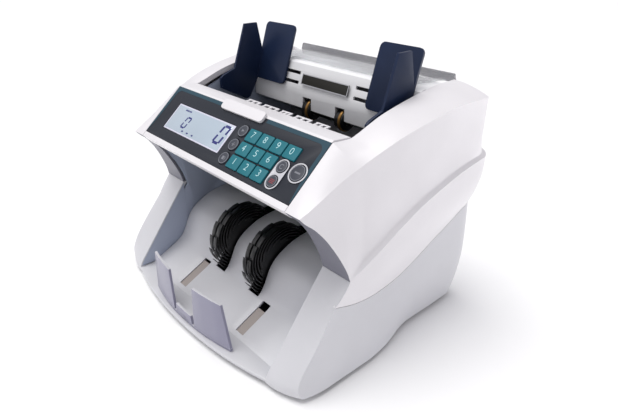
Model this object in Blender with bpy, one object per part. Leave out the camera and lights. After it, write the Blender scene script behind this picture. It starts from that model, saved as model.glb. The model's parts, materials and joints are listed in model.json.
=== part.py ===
"""Banknote counting machine: a desktop counter with a top hopper, a sloping keypad cover and a front stacker.

Metres, +Z up. The origin is on the table under the middle of the machine, the front faces -Y.
Shape values below are in millimetres and are scaled by MM when a vertex is made.
"""
import math

import bmesh
import bpy
import numpy as np
from mathutils import Vector

# ---- driving dimensions (millimetres) -------------------------------------------------------
MM = 0.001
GAP = 0.4                     # clearance between neighbouring pieces
SHELL_WALL = 2.0
FOOT_HEIGHT = 4.0
PATH_SIDE_X = 125.0           # nominal plan outline: straight sides, round rear corners, flat rear
PATH_REAR_Y = 106.0
PATH_CORNER_R = 18.0
INNER_X = 98.5                # inside of the hopper and of the stacker
OPENING_REAR_Y = 92.0

PANEL_FOOT = (-75.8, 138.9)   # (y, z) of the keypad's lower edge
PANEL_TILT = math.radians(41.38)
PANEL_LENGTH = 50.4
PANEL_HALF_WIDTH = 98.2

NOTCH = (-45.7, 80.8)         # (y, z) where the upper shell's front and the cheeks meet
CHEEK_SLOPE = 1.2946          # rise over run of the cheeks' sloping front
CHEEK_FOOT = (-100.0, 10.0)
CHEEK_CURL_Z = 14.0           # below this height the cheek's front curls upright

# ---- outlines seen from the side, (y, value) -------------------------------------------------
TOP_EDGE_X = [(-79.5, 113), (-70, 114.5), (-50, 117), (-25, 122.6), (0, 126.4), (30, 129.3), (60, 130),
              (88, 129.5)]
TOP_EDGE_Z = [(-79.5, 135.7), (-70, 140.5), (-50, 152), (-25, 165), (0, 174.5), (30, 181.5), (60, 185.5),
              (88, 184.5)]
RIM_Z = [(-38, 172.2), (-22, 171.2), (-14.5, 173.2), (-4.5, 176.9), (5.6, 180.4), (17.5, 183.4), (47, 189),
         (74, 192.4), (92, 192.6)]
RIDGE_X = [(-45.7, 126.4), (-33, 128.9), (-20, 130.6), (0, 132.4), (20, 133.2), (45, 133.8), (86, 134)]
RIDGE_Z = [(-45.7, 80.8), (-33, 89.6), (-20, 97.8), (-2, 109.5), (18, 119.4), (40, 127.2), (63, 133.4),
           (86, 137.5)]
CREASE_Z = [(-58, 64.0), (-36, 57.8), (-22, 56.4), (-5, 57.8), (11, 61.2), (46, 75.6), (72, 86.5), (86, 93)]
BROW_Z = [(-79.5, 135.7), (-75.8, 131.4), (-70, 126.4), (-62, 116.6), (-55.5, 105.6), (-50.6, 95.5),
          (-47.3, 87), (-45.7, 80.8)]
BROW_X = [(-79.5, 113), (-62, 118.5), (-52, 123), (-45.7, 126.4)]
REAR_RIM = [(0, 186), (86, 186), (92, 189.5), (98, 192.6)]
FOOT_EDGE_X = [(-60, 132), (-30, 132), (-12, 130.4), (4, 127), (20, 122.4), (32, 120.6), (60, 120.6),
               (86, 120)]
FLOOR_LINE = [(-87, 7.6), (-81, 10.6), (-69, 16.3), (-58, 22), (-53.6, 25.6), (-50.4, 30.4), (-47.7, 35.7),
              (-43.6, 44.2), (-37, 51.8), (-27, 57.8), (-16, 62), (-6, 63.8), (8, 65)]

REAR_RIDGE_Z = 138.5
REAR_CREASE_Z = 104.0
REAR_TOP_Z = 181.0
REAR_FOOT_SETBACK = 8.0       # how far the rear wall draws in at the table

# ---- how the shells are divided ----------------------------------------------------------------
FRONT_YS = [-79.5, -75.8, -70, -64, -58.5, -54, -50, -47.2]
SIDE_YS = [-45.7, -38, -30, -22, -13, -3, 8, 20, 33, 46, 60, 73, 86]
CORNER_ANGLES = [15, 30, 45, 60, 75, 90]
REAR_XS = [95, 88, 45, 0]
STATIONS = ([("side", y) for y in FRONT_YS + SIDE_YS] + [("corner", a) for a in CORNER_ANGLES]
            + [("rear", x) for x in REAR_XS])
FACE_LEVELS = [(0.0, 0.0), (0.05, 3.0), (0.16, 3.4), (0.6, 1.8)]      # share of height, hollow
HOLLOW_RUN = 14.0                                                     # length over which the hollow grows
BAND_LEVELS = [(0.0, 1.0), (0.35, 0.35), (0.7, 0.03)]                 # share of height, share of undercut
RAIL_LEVELS = [(0.3, 1.6), (0.62, 1.8)]                               # share of width, crown
CROWN_RUN = 25.0                                                      # length over which the crown grows
BASE_LEVELS = [0.0, 0.07, 0.16, 0.28, 0.42, 0.6, 0.8, 1.0]
CHEEK_UPPER = [(63.3, 122.4), (71.5, 122.4), (79.6, 122.4)]           # (z, x) of the edge behind the band
CHEEK_WIDTHS = [0.12, 0.3, 0.6, 1.0]
CHEEK_RETURN = 4.0
WELD = 0.02                   # vertices closer than this are one

# ---- lower housing ------------------------------------------------------------------------------
FLARE_HEIGHT = 55.0           # the foot's flare ends this far above the feet
SIDE_BULGE = 1.2
CORNER_SETBACK = 10.0
CORNER_HEIGHT = 26.0
NOSE_ROUNDING = (-70.0, 34.0, 9.0)    # where the sides turn in, over what length, by how much
LIP_HEIGHT = 3.0
LIP_REACH = 13.0
LIP_BOW = 12.0
LIP_REAR_Y = -89.0
LIP_XS = [-97, -80, -60, -40, -20, 0, 20, 40, 60, 80, 97]
LIP_CORNER = [(108, -99.4), (118, -95.5), (125, -89.5), (129, -81)]
LIP_END = [(127, -76), (103, -76)]
REAR_WINDOW = (-66.0, 66.0, 18.0, 84.0)
COLLAR = 3.0                  # width of the raised frame round the rear window
FEET = [("front_left", -100, -62), ("front_right", 100, -62), ("rear_left", -98, 80), ("rear_right", 98, 80)]
FOOT_RADII = (8.0, 9.0)       # at the table, at the top
BASE_OUTLINE = [(-108, -66), (-98, -76), (98, -76), (108, -66), (110, 76), (98, 90), (-98, 90), (-110, 76)]
BASE_THICK = 1.5

# ---- sheets and fixed pieces ---------------------------------------------------------------------
FLOOR_THICK = 2.0
WHEEL_SLOT_X = (18.2, 31.8)
SENSOR_SLOT_X = (39.7, 49.3)
PLATE_LINE = [(44.6, 151.5), (44.6, 162), (44.6, 167), (46.1, 171.6), (47.0, 174.4), (48.8, 179.9),
              (49.7, 182.7), (51.9, 189.3), (55.5, 190.6), (91.2, 187.4)]
SLOT_ROWS = [(3, 4), (5, 6)]
SLOT_X = (34.5, 84.0)
NOTCH_X = (15.4, 26.6)
SHEET_HALF_WIDTH = 97.9
GUIDE_SHEET = 1.6
FEED_LINE = [(-16.5, 163), (-13.5, 151), (-6, 142), (6, 136.5), (20, 134.5), (34, 137), (40.8, 141)]
FEED_NOTCH_X = (13.5, 28.5)
THROAT_LINE = [(14, 68.5), (3, 72), (-3.5, 82), (-4.5, 100), (-2.5, 118), (2, 131)]
LABEL_HALF_WIDTH = 29.0
LABEL_HEIGHT = 9.6
LABEL_RAKE = ((45.7, 172.6), (48.9, 182.4))       # (y, z) of the lower and upper edge
FENCE_Y = -110.4
FENCE_BOW = 0.0021
FENCE_XS = [-58, -45, -30, -15.5, 15.5, 30, 45, 58]
FENCE_INNER_X = (15.5, 18.0)      # bottom, top
FENCE_OUTER_X = (58.0, 51.0)
FENCE_TOP = 47.7
FENCE_TAB_LOW = [-13, -4, 4, 13]
FENCE_TAB_HIGH = [-11.5, -4, 4, 11.5]
FENCE_TAB_TOP = 17.6
FENCE_THICK = 2.4
FENCE_INSET = 0.15
TRAY_HALF_WIDTH = 85.0
TRAY_LINE = [(57, 191.4), (58, 192.6), (100.6, 189.2), (100.6, 188.0)]
RIM_HALF_WIDTH = 93.5
RIM_Y = (101.0, 103.6)
RIM_HEIGHT = (187.4, 194.2)
RIM_TAPER = 2.0
FRAME_X = (98.9, 100.7)       # side frames, inner and outer face
FRAME_OUTLINE = [(-79, 26), (-80, 16), (-70, 7.5), (88, 7.5), (90, 20), (90, 186), (60, 184.5), (30, 178.5),
                 (5, 172), (-14, 165), (-34, 162), (-50, 149), (-64, 138.5), (-69.5, 134), (-68.3, 130),
                 (-64.5, 125), (-57, 113), (-50, 101), (-45, 90), (-41, 78), (-60, 52)]

# ---- mechanism -------------------------------------------------------------------------------
WHEEL_AXIS = (-30.0, 45.0)    # (y, z) of the stacking wheels' shaft
WHEEL_RADIUS = 33.5
WHEEL_X = 25.0
WHEEL_HALF_WIDTH = 5.4
HUB_RADIUS = 20.0
FINGERS = 14
FINGER_SWEEP = math.radians(62)
FINGER_LEAN = 0.8             # how far a finger's thickness leans from the radius, in radians
FINGER_HALF = (1.5, 0.6)      # half thickness at the root and at the tip
PICKUP_AXIS = (51.0, 150.5)
PICKUP_RADIUS = 10.0
PICKUP_X = 21.0
PICKUP_CORE = 4.3
DRUM_AXIS = (22.0, 104.0)
DRUM_RADIUS = 15.0
DRUM_CORE = 10.0
MOTOR_AXIS = (62.0, 42.0)
MOTOR_RADIUS = 18.0
MOTOR_X = (28.0, 82.0)
PULLEY_X = (91.0, 96.0)
MOTOR_PULLEY_RADIUS = 6.0
DRUM_PULLEY_RADIUS = 12.0
BELT_THICK = 1.3
SHAFT_RADIUS = 3.0
SHAFT_HALF_LENGTH = 104.0
SHAFT_FIT = 0.35              # clearance between a shaft and what turns with it

# ---- electrics ---------------------------------------------------------------------------------
ELECTRICS_Z = FOOT_HEIGHT + BASE_THICK + GAP      # what stands on the base plate
SUPPLY_BOX = ((-88, 30), (-20, 84), 46)           # (x, y) corners and top
BOARD_BOX = ((-84, 14), (84, 15.6), 60)
CHIP_XS = (-60, -20, 22, 58)
REAR_Y = (105.2, 107.4)       # rear panel's inner and outer face
VENTS = 8
VENT_START = 2.0
VENT_PITCH = 7.0
VENT_WIDTH = 3.0
VENT_Z = (34.0, 68.0)
INLET = (-44.0, 34.0)         # (x, z) centre on the rear panel
INLET_HALF = (13.6, 10.0)
SOCKET_HALF = (11.6, 7.6)
PINS = [(-7, -1.5), (0, 2.2), (7, -1.5)]
SWITCH = (-44.0, 64.0)
SWITCH_HALF = (10.6, 7.0)
WELL_HALF = (9.4, 5.5)
ROCKER_AXIS_Y = 104.0
ROCKER_LINE = [(-8, 103.0), (-8, 105.6), (0, 107.2), (8, 108.8), (8, 103.0), (0, 101.4)]
ROCKER_HALF_HEIGHT = 5.0

# ---- front cover ---------------------------------------------------------------------------------
COVER_AXIS = (-66.0, 134.0)   # (y, z) of the front cover's hinge pins
COVER_PIN_RADIUS = 2.2
COVER_X = 98.0
BAR_TOP = [(-38.3, 172.0), (-36.6, 173.3), (-21.2, 171.9), (-20.4, 171.0)]
BAR_REAR = [(-20.4, 152), (-22.6, 152), (-22.6, 168.6)]
NOSE_LINE = [(-73.4, 128.9), (-76.0, 131.4)]
WALL_LINE = [(-1.2, -8.6), (-0.1, -12.6), (46, -12.6), (51.5, -4.5), (51.5, -2.7), (-0.6, -2.7)]
TAB = (-25.0, 28.0, 44.5)     # finger tab: left, right, lower edge
TAB_DEPTH = (0.35, 2.6)

# ---- keypad, in panel coordinates (x across, s up the slope) ------------------------------------
KEY_LEFT = 21.4
KEY_PITCH_X = 14.65
KEY_PITCH_S = 11.9
KEY_BOTTOM = 3.4
KEY_GAP = 1.2
KEY_RISE = 1.0
KEY_DEPTH = 5.0
KEY_ROWS = ["123", "456", "7890"]
ROUND_KEYS = [("key_mode", 15.4, 34.1, 5.0), ("key_add", 15.4, 21.4, 5.0), ("key_print", 15.4, 8.9, 5.0),
              ("key_clear", 72.9, 21.2, 4.6), ("key_batch", 72.9, 9.2, 4.6), ("key_start", 88.7, 21.7, 6.2)]
PILL_RADIUS = 6.1
START_RING_RADIUS = 7.7
RING_DEPTH = (0.3, 0.7)
RING_GAP = 0.5
PANEL_THICK = 2.2
LCD_WINDOW = (-80.0, 4.5, 9.6, 36.0)
LCD_BORDER = (2.2, 2.0)       # bezel width across and up the slope
THROUGH = (-6.0, 4.0)         # depth of a cut right through the panel

# ---- note guides -----------------------------------------------------------------------------------
GUIDE_OUTER_X = 93.0
GUIDE_LEAF_X = 51.2
GUIDE_THICK = 2.4
LEAF_FOOT = (41.6, 169.0)     # (y, z) of the leaf's front at its lower edge
LEAF_TOP_Z = 219.5
LEAF_LEAN = math.atan(0.326)
LEAF_CORNER = 4.6
WING_OUTLINE = [(30, 219.5), (16.5, 181), (3.5, 176.5), (0.2, 174), (0.2, 165), (28.5, 150), (33, 152),
                (43.2, 169.5), (50.4, 190.5), (44, 219.5)]
PEG_X = (62.0, 70.0)
PEG_REACH = 3.4


def clear_scene():
    """Start from an empty scene."""
    for item in list(bpy.data.objects):
        bpy.data.objects.remove(item, do_unlink=True)


def material(name, colour, roughness=0.5, metallic=0.0, alpha=1.0):
    """A piece's own Principled material, made once."""
    made = bpy.data.materials.get(name)
    if made is None:
        made = bpy.data.materials.new(name)
        made.use_nodes = True
        shader = made.node_tree.nodes["Principled BSDF"]
        shader.inputs["Base Color"].default_value = (*colour, 1.0)
        shader.inputs["Roughness"].default_value = roughness
        shader.inputs["Metallic"].default_value = metallic
        shader.inputs["Alpha"].default_value = alpha
        made.diffuse_color = (*colour, alpha)
    return made


WHITE = ((0.86, 0.86, 0.83), 0.35)
GREY = ((0.72, 0.72, 0.75), 0.4)
SLATE = ((0.06, 0.065, 0.085), 0.4)
TEAL = ((0.02, 0.28, 0.31), 0.45)
DARK = ((0.05, 0.055, 0.07), 0.45)
NAVY = ((0.015, 0.025, 0.06), 0.2)
BLACK = ((0.015, 0.015, 0.018), 0.45)
SILVER = ((0.75, 0.76, 0.78), 0.3, 0.8)
STEEL = ((0.62, 0.63, 0.65), 0.35, 1.0)
BRASS = ((0.55, 0.38, 0.14), 0.35, 1.0)
RUBBER = ((0.03, 0.03, 0.03), 0.8)
BOARD = ((0.02, 0.18, 0.08), 0.5)
SCREEN = ((0.45, 0.55, 0.65), 0.2)
LABEL = ((0.13, 0.13, 0.11), 0.5)
SMOKE = ((0.3, 0.3, 0.33), 0.15, 0.0, 0.6)
CLEAR = ((0.9, 0.92, 0.93), 0.05, 0.0, 0.3)


def curve(points, at):
    """Smooth value at a position along (position, value) points, held level past both ends."""
    xs = np.array([p[0] for p in points], dtype=float)
    ys = np.array([p[1] for p in points], dtype=float)
    at = min(max(at, xs[0]), xs[-1])
    i = min(int(np.searchsorted(xs, at, side="right")) - 1, len(xs) - 2)
    steps = np.diff(xs)
    slopes = np.diff(ys) / steps
    tangents = np.empty(len(xs))
    tangents[0] = slopes[0]
    tangents[-1] = slopes[-1]
    for k in range(1, len(xs) - 1):
        before, after = slopes[k - 1], slopes[k]
        tangents[k] = 0.0 if before * after <= 0 else 2 * before * after / (before + after)
    t = (at - xs[i]) / steps[i]
    low = (1 + 2 * t) * (1 - t) ** 2 * ys[i] + t * t * (3 - 2 * t) * ys[i + 1]
    return float(low + steps[i] * (t * (1 - t) ** 2 * tangents[i] - t * t * (1 - t) * tangents[i + 1]))


def new_object(name, bm, look, origin=(0, 0, 0), smooth_angle=None, turn_outward=True):
    """Turn a bmesh in millimetres into an object in metres whose origin is on its joint's axis."""
    shift = Vector(origin)
    for vert in bm.verts:
        vert.co = (vert.co - shift) * MM
    if turn_outward:
        bmesh.ops.recalc_face_normals(bm, faces=bm.faces)
    mesh = bpy.data.meshes.new(name)
    bm.to_mesh(mesh)
    bm.free()
    obj = bpy.data.objects.new(name, mesh)
    obj.location = shift * MM
    mesh.materials.append(material(name, *look))
    if smooth_angle:
        mesh.shade_smooth()
        mesh.set_sharp_from_angle(angle=math.radians(smooth_angle))
    bpy.context.scene.collection.objects.link(obj)
    return obj


def helper(obj):
    """Hide a cutter or a tool body."""
    obj.hide_render = True
    obj.hide_set(True)
    obj.display_type = "WIRE"
    return obj


def boolean(obj, tool, operation):
    """Join a tool body to an object, or cut it out."""
    mod = obj.modifiers.new(operation.lower(), "BOOLEAN")
    mod.operation = operation
    mod.solver = "EXACT"
    mod.object = helper(tool)


def solidify(obj, thickness):
    """Give a sheet its wall, on the inner side."""
    mod = obj.modifiers.new("wall", "SOLIDIFY")
    mod.thickness = thickness * MM
    mod.offset = -1.0
    mod.use_even_offset = False


def add_loop_solid(bm, lower, upper):
    """A closed solid between two matching outlines of points."""
    a = [bm.verts.new(p) for p in lower]
    b = [bm.verts.new(p) for p in upper]
    bm.faces.new(a)
    bm.faces.new(list(reversed(b)))
    for i in range(len(a)):
        j = (i + 1) % len(a)
        bm.faces.new((a[i], b[i], b[j], a[j]))


def add_box(bm, lo, hi):
    corners = [(lo[0], lo[1]), (hi[0], lo[1]), (hi[0], hi[1]), (lo[0], hi[1])]
    add_loop_solid(bm, [(x, y, lo[2]) for x, y in corners], [(x, y, hi[2]) for x, y in corners])


def add_prism_x(bm, profile, x0, x1):
    """Extrude a (y, z) outline from x0 to x1."""
    add_loop_solid(bm, [(x0, y, z) for y, z in profile], [(x1, y, z) for y, z in profile])


def circle(centre, radius, count):
    """Points round a circle."""
    return [(centre[0] + radius * math.cos(math.tau * i / count),
             centre[1] + radius * math.sin(math.tau * i / count)) for i in range(count)]


def add_tube_x(bm, centre, outer, inner, x0, x1, count):
    """A ring along X, a closed body with a hole through it."""
    rings = [[bm.verts.new((x, *p)) for p in circle(centre, r, count)]
             for x, r in ((x0, outer), (x1, outer), (x1, inner), (x0, inner))]
    for k in range(4):
        a, b = rings[k], rings[(k + 1) % 4]
        for i in range(count):
            j = (i + 1) % count
            bm.faces.new((a[i], a[j], b[j], b[i]))


def add_turned_x(bm, centre, steps, count):
    """A shaft along X from (x, radius) steps, closed at both ends."""
    rings = [[bm.verts.new((x, *p)) for p in circle(centre, r, count)] for x, r in steps]
    bm.faces.new(rings[0])
    bm.faces.new(list(reversed(rings[-1])))
    for a, b in zip(rings, rings[1:]):
        for i in range(count):
            j = (i + 1) % count
            bm.faces.new((a[i], a[j], b[j], b[i]))


def add_sleeve_x(bm, centre, steps, bore, count):
    """A turned sleeve along X with a straight bore, from (x, radius) steps."""
    profile = [(steps[0][0], bore), *steps, (steps[-1][0], bore)]
    rings = [[bm.verts.new((x, y, z)) for y, z in circle(centre, radius, count)] for x, radius in profile]
    for k in range(len(rings)):
        a, b = rings[k], rings[(k + 1) % len(rings)]
        for i in range(count):
            j = (i + 1) % count
            bm.faces.new((a[i], a[j], b[j], b[i]))


def panel_point(x, s, n=0.0):
    """A point on the sloping panel: x across, s up the slope, n out of the surface."""
    return (x, PANEL_FOOT[0] + s * math.cos(PANEL_TILT) - n * math.sin(PANEL_TILT),
            PANEL_FOOT[1] + s * math.sin(PANEL_TILT) + n * math.cos(PANEL_TILT))


def add_panel_prism(bm, outline, n0, n1):
    """Extrude an (x, s) outline from depth n0 to n1 of the panel."""
    add_loop_solid(bm, [panel_point(x, s, n0) for x, s in outline], [panel_point(x, s, n1) for x, s in outline])


def rectangle(x0, x1, s0, s1, corner=0.0, steps=3):
    """An outline with rounded corners, counter-clockwise."""
    if corner <= 0:
        return [(x0, s0), (x1, s0), (x1, s1), (x0, s1)]
    outline = []
    for cx, cs, start in ((x1 - corner, s0 + corner, -90), (x1 - corner, s1 - corner, 0),
                          (x0 + corner, s1 - corner, 90), (x0 + corner, s0 + corner, 180)):
        for k in range(steps + 1):
            a = math.radians(start + 90 * k / steps)
            outline.append((cx + corner * math.cos(a), cs + corner * math.sin(a)))
    return outline


# ---- the outer shells -------------------------------------------------------------------------
def path_point(station, offset, z):
    """Point at an outward offset from the nominal plan outline and a height."""
    kind, value = station
    if kind == "side":
        return Vector((PATH_SIDE_X + offset, value, z))
    if kind == "rear":
        return Vector((value, PATH_REAR_Y + offset, z))
    a = math.radians(value)
    return Vector((PATH_SIDE_X - PATH_CORNER_R + (PATH_CORNER_R + offset) * math.cos(a),
                   PATH_REAR_Y - PATH_CORNER_R + (PATH_CORNER_R + offset) * math.sin(a), z))


def along(points, station, rear_value):
    """A side curve's value, which turns into the rear value round the corner."""
    kind, value = station
    share = {"side": 0.0, "corner": value / 90.0, "rear": 1.0}[kind]
    y = value if kind == "side" else points[-1][0]
    return curve(points, y) * (1 - share) + rear_value * share


def ridge(station):
    return along(RIDGE_X, station, PATH_SIDE_X + 7) - PATH_SIDE_X, along(RIDGE_Z, station, REAR_RIDGE_Z)


def is_front(station):
    return station[0] == "side" and station[1] < NOTCH[0]


def rim_point(station):
    """Inner edge of the rail: along the keypad, then round the hopper's opening."""
    kind, value = station
    if kind == "rear":
        return Vector((value, OPENING_REAR_Y, curve(REAR_RIM, value)))
    if kind == "corner":
        return Vector((INNER_X, OPENING_REAR_Y, REAR_RIM[-1][1]))
    if value < RIM_Z[0][0]:
        return Vector((INNER_X, value, panel_height(value)))
    return Vector((INNER_X, value, curve(RIM_Z, value)))


def panel_height(y):
    return PANEL_FOOT[1] + (y - PANEL_FOOT[0]) * math.tan(PANEL_TILT)


def side_section(station):
    """Upper shell section from its lowest edge up to the rim."""
    top_offset = along(TOP_EDGE_X, station, PATH_SIDE_X + 2.5) - PATH_SIDE_X
    top_z = along(TOP_EDGE_Z, station, REAR_TOP_Z)
    low_offset, low_z = ridge(station)
    hollow = 1.0
    if is_front(station):
        low_offset, low_z = curve(BROW_X, station[1]) - PATH_SIDE_X, curve(BROW_Z, station[1])
        hollow = 0.0
    elif station[0] == "side":
        hollow = min(1.0, (station[1] - NOTCH[0]) / HOLLOW_RUN)
    section = []
    for share, dip in FACE_LEVELS:
        offset = low_offset + (top_offset - low_offset) * share - dip * hollow
        section.append(path_point(station, offset, low_z + (top_z - low_z) * share))
    top = path_point(station, top_offset, top_z)
    rim = rim_point(station)
    section.append(top)
    for share, crown in RAIL_LEVELS:
        mid = top.lerp(rim, share)
        mid.z += crown * min(1.0, max(0.0, (top.y - FRONT_YS[0]) / CROWN_RUN))
        section.append(mid)
    section.append(rim)
    return section


def cheek_y(z):
    """The cheek's sloping front, which curls upright near the table."""
    below = max(0.0, CHEEK_CURL_Z - z)
    top = max(z, CHEEK_CURL_Z)
    curl = below / CHEEK_SLOPE * (1 - below / (2 * (CHEEK_CURL_Z - FOOT_HEIGHT)))
    return CHEEK_FOOT[0] + (top - CHEEK_FOOT[1]) / CHEEK_SLOPE - curl


def band_section(station):
    """The undercut band below the ridge, from the crease up."""
    if is_front(station):
        return [None] * len(BAND_LEVELS)
    section = []
    for share, undercut in BAND_LEVELS:
        here = station
        if station[0] == "side":
            front_y = cheek_y(CREASE_Z[0][1] + (NOTCH[1] - CREASE_Z[0][1]) * share)
            run = (station[1] - SIDE_YS[0]) / (SIDE_YS[-1] - SIDE_YS[0])
            here = ("side", front_y + run * (SIDE_YS[-1] - front_y))
        offset, ridge_z = ridge(here)
        crease_z = along(CREASE_Z, here, REAR_CREASE_Z)
        section.append(path_point(here, offset * (1 - undercut), crease_z + (ridge_z - crease_z) * share))
    return section


def mirror_columns(columns):
    """The right half's columns, then their mirror images back to the front."""
    flipped = [[None if p is None else Vector((-p.x, p.y, p.z)) for p in col] for col in reversed(columns[:-1])]
    return columns + flipped


def grid_faces(bm, columns):
    """Quads between neighbouring columns of vertices; a missing vertex leaves a hole."""
    for a, b in zip(columns, columns[1:]):
        for i in range(len(a) - 1):
            quad = (a[i], a[i + 1], b[i + 1], b[i])
            if all(quad):
                bm.faces.new(quad)


def make_verts(bm, columns):
    return [[None if p is None else bm.verts.new(p) for p in col] for col in columns]


def upper_shell():
    """Side faces, rails and rear of the upper housing as one moulding, open underneath."""
    bm = bmesh.new()
    columns = []
    for index, station in enumerate(STATIONS):
        section = side_section(station)
        lip = None if index == 0 else section[-1] - Vector((0, 0, 3 if index == 1 else 5))
        columns.append(band_section(station) + section + [lip])
    columns = mirror_columns(columns)
    grid_faces(bm, make_verts(bm, columns))
    low = len(BAND_LEVELS)
    top = low + len(FACE_LEVELS)
    for side in (columns, list(reversed(columns))):
        rows = [[side[0][low]] + side[0][top + 1:-1]]
        for column in side[1:len(FRONT_YS) + 1]:
            outer = column[low]
            rim = Vector((math.copysign(INNER_X, outer.x), outer.y, outer.z))
            rows.append([outer] + [outer.lerp(rim, share) for share, crown in RAIL_LEVELS] + [rim])
        grid_faces(bm, make_verts(bm, rows))
    bmesh.ops.remove_doubles(bm, verts=bm.verts, dist=WELD)
    obj = new_object("upper_shell", bm, WHITE, smooth_angle=35)
    solidify(obj, SHELL_WALL)
    return obj


def corner_setback(z):
    """How far the cheek's outer edge rounds back near the table."""
    return CORNER_SETBACK * max(0.0, 1 - (z - FOOT_HEIGHT) / CORNER_HEIGHT) ** 2


def base_station(station, share):
    """Where a station lies at a share of the base's height, with the front following the cheek's slope."""
    if station[0] != "side":
        return station
    front_z = FOOT_HEIGHT + (CREASE_Z[0][1] - FOOT_HEIGHT) * share
    front_y = cheek_y(front_z) + corner_setback(front_z)
    run = (station[1] - SIDE_YS[0]) / (SIDE_YS[-1] - SIDE_YS[0])
    return ("side", front_y + run * (SIDE_YS[-1] - front_y))


def base_section(station):
    """Lower shell section from the table edge up to the crease."""
    turn_y, turn_run, turn_depth = NOSE_ROUNDING
    section = []
    for share in BASE_LEVELS:
        here = base_station(station, share)
        top = along(CREASE_Z, here, REAR_CREASE_Z) - GAP
        z = FOOT_HEIGHT + (top - FOOT_HEIGHT) * share
        foot_offset = along(FOOT_EDGE_X, here, PATH_SIDE_X - REAR_FOOT_SETBACK) - PATH_SIDE_X
        flare = foot_offset * max(0.0, 1 - (z - FOOT_HEIGHT) / FLARE_HEIGHT) ** 2
        bulge = SIDE_BULGE * math.sin(math.pi * share)
        rounding = 0.0
        if here[0] == "side" and here[1] < turn_y:
            rounding = turn_depth * ((turn_y - here[1]) / turn_run) ** 2
        section.append(path_point(here, flare + bulge - rounding, z))
    return section


def lip_front(x):
    """The lip's bowed front edge."""
    return CHEEK_FOOT[0] - LIP_REACH + LIP_BOW * (abs(x) / LIP_XS[-1]) ** 2.2


def front_lip():
    """The flat lip between the cheeks, with its upper and lower edges slightly drawn in."""
    half = [*LIP_CORNER, *LIP_END, (LIP_END[-1][0], LIP_REAR_Y)]
    outline = [(x, lip_front(x)) for x in LIP_XS] + half + [(-x, y) for x, y in reversed(half)]
    shrunk = [(x * 0.992, y + 0.8) for x, y in outline]
    lip = bmesh.new()
    low = [lip.verts.new((x, y, FOOT_HEIGHT)) for x, y in shrunk]
    mid = [lip.verts.new((x, y, FOOT_HEIGHT + 1)) for x, y in outline]
    high = [lip.verts.new((x, y, FOOT_HEIGHT + LIP_HEIGHT)) for x, y in shrunk]
    lip.faces.new(low)
    lip.faces.new(list(reversed(high)))
    for ring_a, ring_b in ((low, mid), (mid, high)):
        for i in range(len(ring_a)):
            j = (i + 1) % len(ring_a)
            lip.faces.new((ring_a[i], ring_b[i], ring_b[j], ring_a[j]))
    return new_object("lip_tool", lip, GREY)


def base_shell():
    """Lower housing: side walls, cheeks and rear as one moulding with the flat front lip."""
    bm = bmesh.new()
    right = [base_section(station) for station in STATIONS if not is_front(station)]
    columns = mirror_columns(right)
    grid_faces(bm, make_verts(bm, columns))
    for side in (columns[0], columns[-1]):
        sign = math.copysign(1, side[0].x)
        edge = side + [Vector((sign * x, cheek_y(z), z)) for z, x in CHEEK_UPPER]
        rows = [edge]
        inner = [Vector((sign * INNER_X, cheek_y(p.z), p.z)) for p in edge]
        for width in CHEEK_WIDTHS:
            rows.append([Vector((p.x + (q.x - p.x) * width, q.y + (p.y - q.y) * (1 - width) ** 2, p.z))
                         for p, q in zip(edge, inner)])
        rows.append([q + Vector((0, CHEEK_RETURN, 0)) for q in inner])
        grid_faces(bm, make_verts(bm, rows))
    bmesh.ops.remove_doubles(bm, verts=bm.verts, dist=WELD)
    obj = new_object("base_shell", bm, GREY, smooth_angle=35)
    solidify(obj, SHELL_WALL)
    boolean(obj, front_lip(), "UNION")
    x0, x1, z0, z1 = REAR_WINDOW
    collar = bmesh.new()
    add_box(collar, (x0 - COLLAR, 98, z0 - COLLAR), (x1 + COLLAR, REAR_Y[1] - 0.6, z1 + COLLAR))
    boolean(obj, new_object("collar_tool", collar, GREY), "UNION")
    window = bmesh.new()
    add_box(window, (x0, 90, z0), (x1, 120, z1))
    boolean(obj, new_object("window_tool", window, GREY), "DIFFERENCE")
    return obj


# ---- sheets ------------------------------------------------------------------------------------
def sheet_x(name, line, cuts, holes, thickness, look):
    """A folded sheet hung under a (y, z) line; holes lists (cut, first point, last point) cells left out."""
    bm = bmesh.new()
    rows = [[bm.verts.new((x, y, z)) for x in cuts] for y, z in line]
    for i in range(len(line) - 1):
        for k in range(len(cuts) - 1):
            if any(k == hole and first <= i < last for hole, first, last in holes):
                continue
            bm.faces.new((rows[i][k], rows[i][k + 1], rows[i + 1][k + 1], rows[i + 1][k]))
    loose = [v for v in bm.verts if not v.link_faces]
    bmesh.ops.delete(bm, geom=loose, context="VERTS")
    obj = new_object(name, bm, look, smooth_angle=35, turn_outward=False)
    solidify(obj, thickness)
    return obj


def symmetric(cuts):
    return [-c for c in reversed(cuts)] + list(cuts)


def stacker_floor():
    """The S-shaped floor that the wheels' fingers reach through, with two sensor slots near its front."""
    cuts = symmetric([*WHEEL_SLOT_X, *SENSOR_SLOT_X, INNER_X - GAP])
    last = len(FLOOR_LINE) - 1
    holes = [(1, 1, 3), (7, 1, 3), (3, 3, last), (5, 3, last)]
    return sheet_x("stacker_floor", FLOOR_LINE, cuts, holes, FLOOR_THICK, GREY)


def hopper_plate():
    """White back plate of the hopper, notched for the pick-up rollers and slotted for the guides' pegs."""
    cuts = symmetric([*NOTCH_X, *SLOT_X, SHEET_HALF_WIDTH])
    holes = [(3, 0, 1), (5, 0, 1)]
    for first, last in SLOT_ROWS:
        holes += [(1, first, last), (7, first, last)]
    return sheet_x("hopper_plate", PLATE_LINE, cuts, holes, FLOOR_THICK, WHITE)


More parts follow.
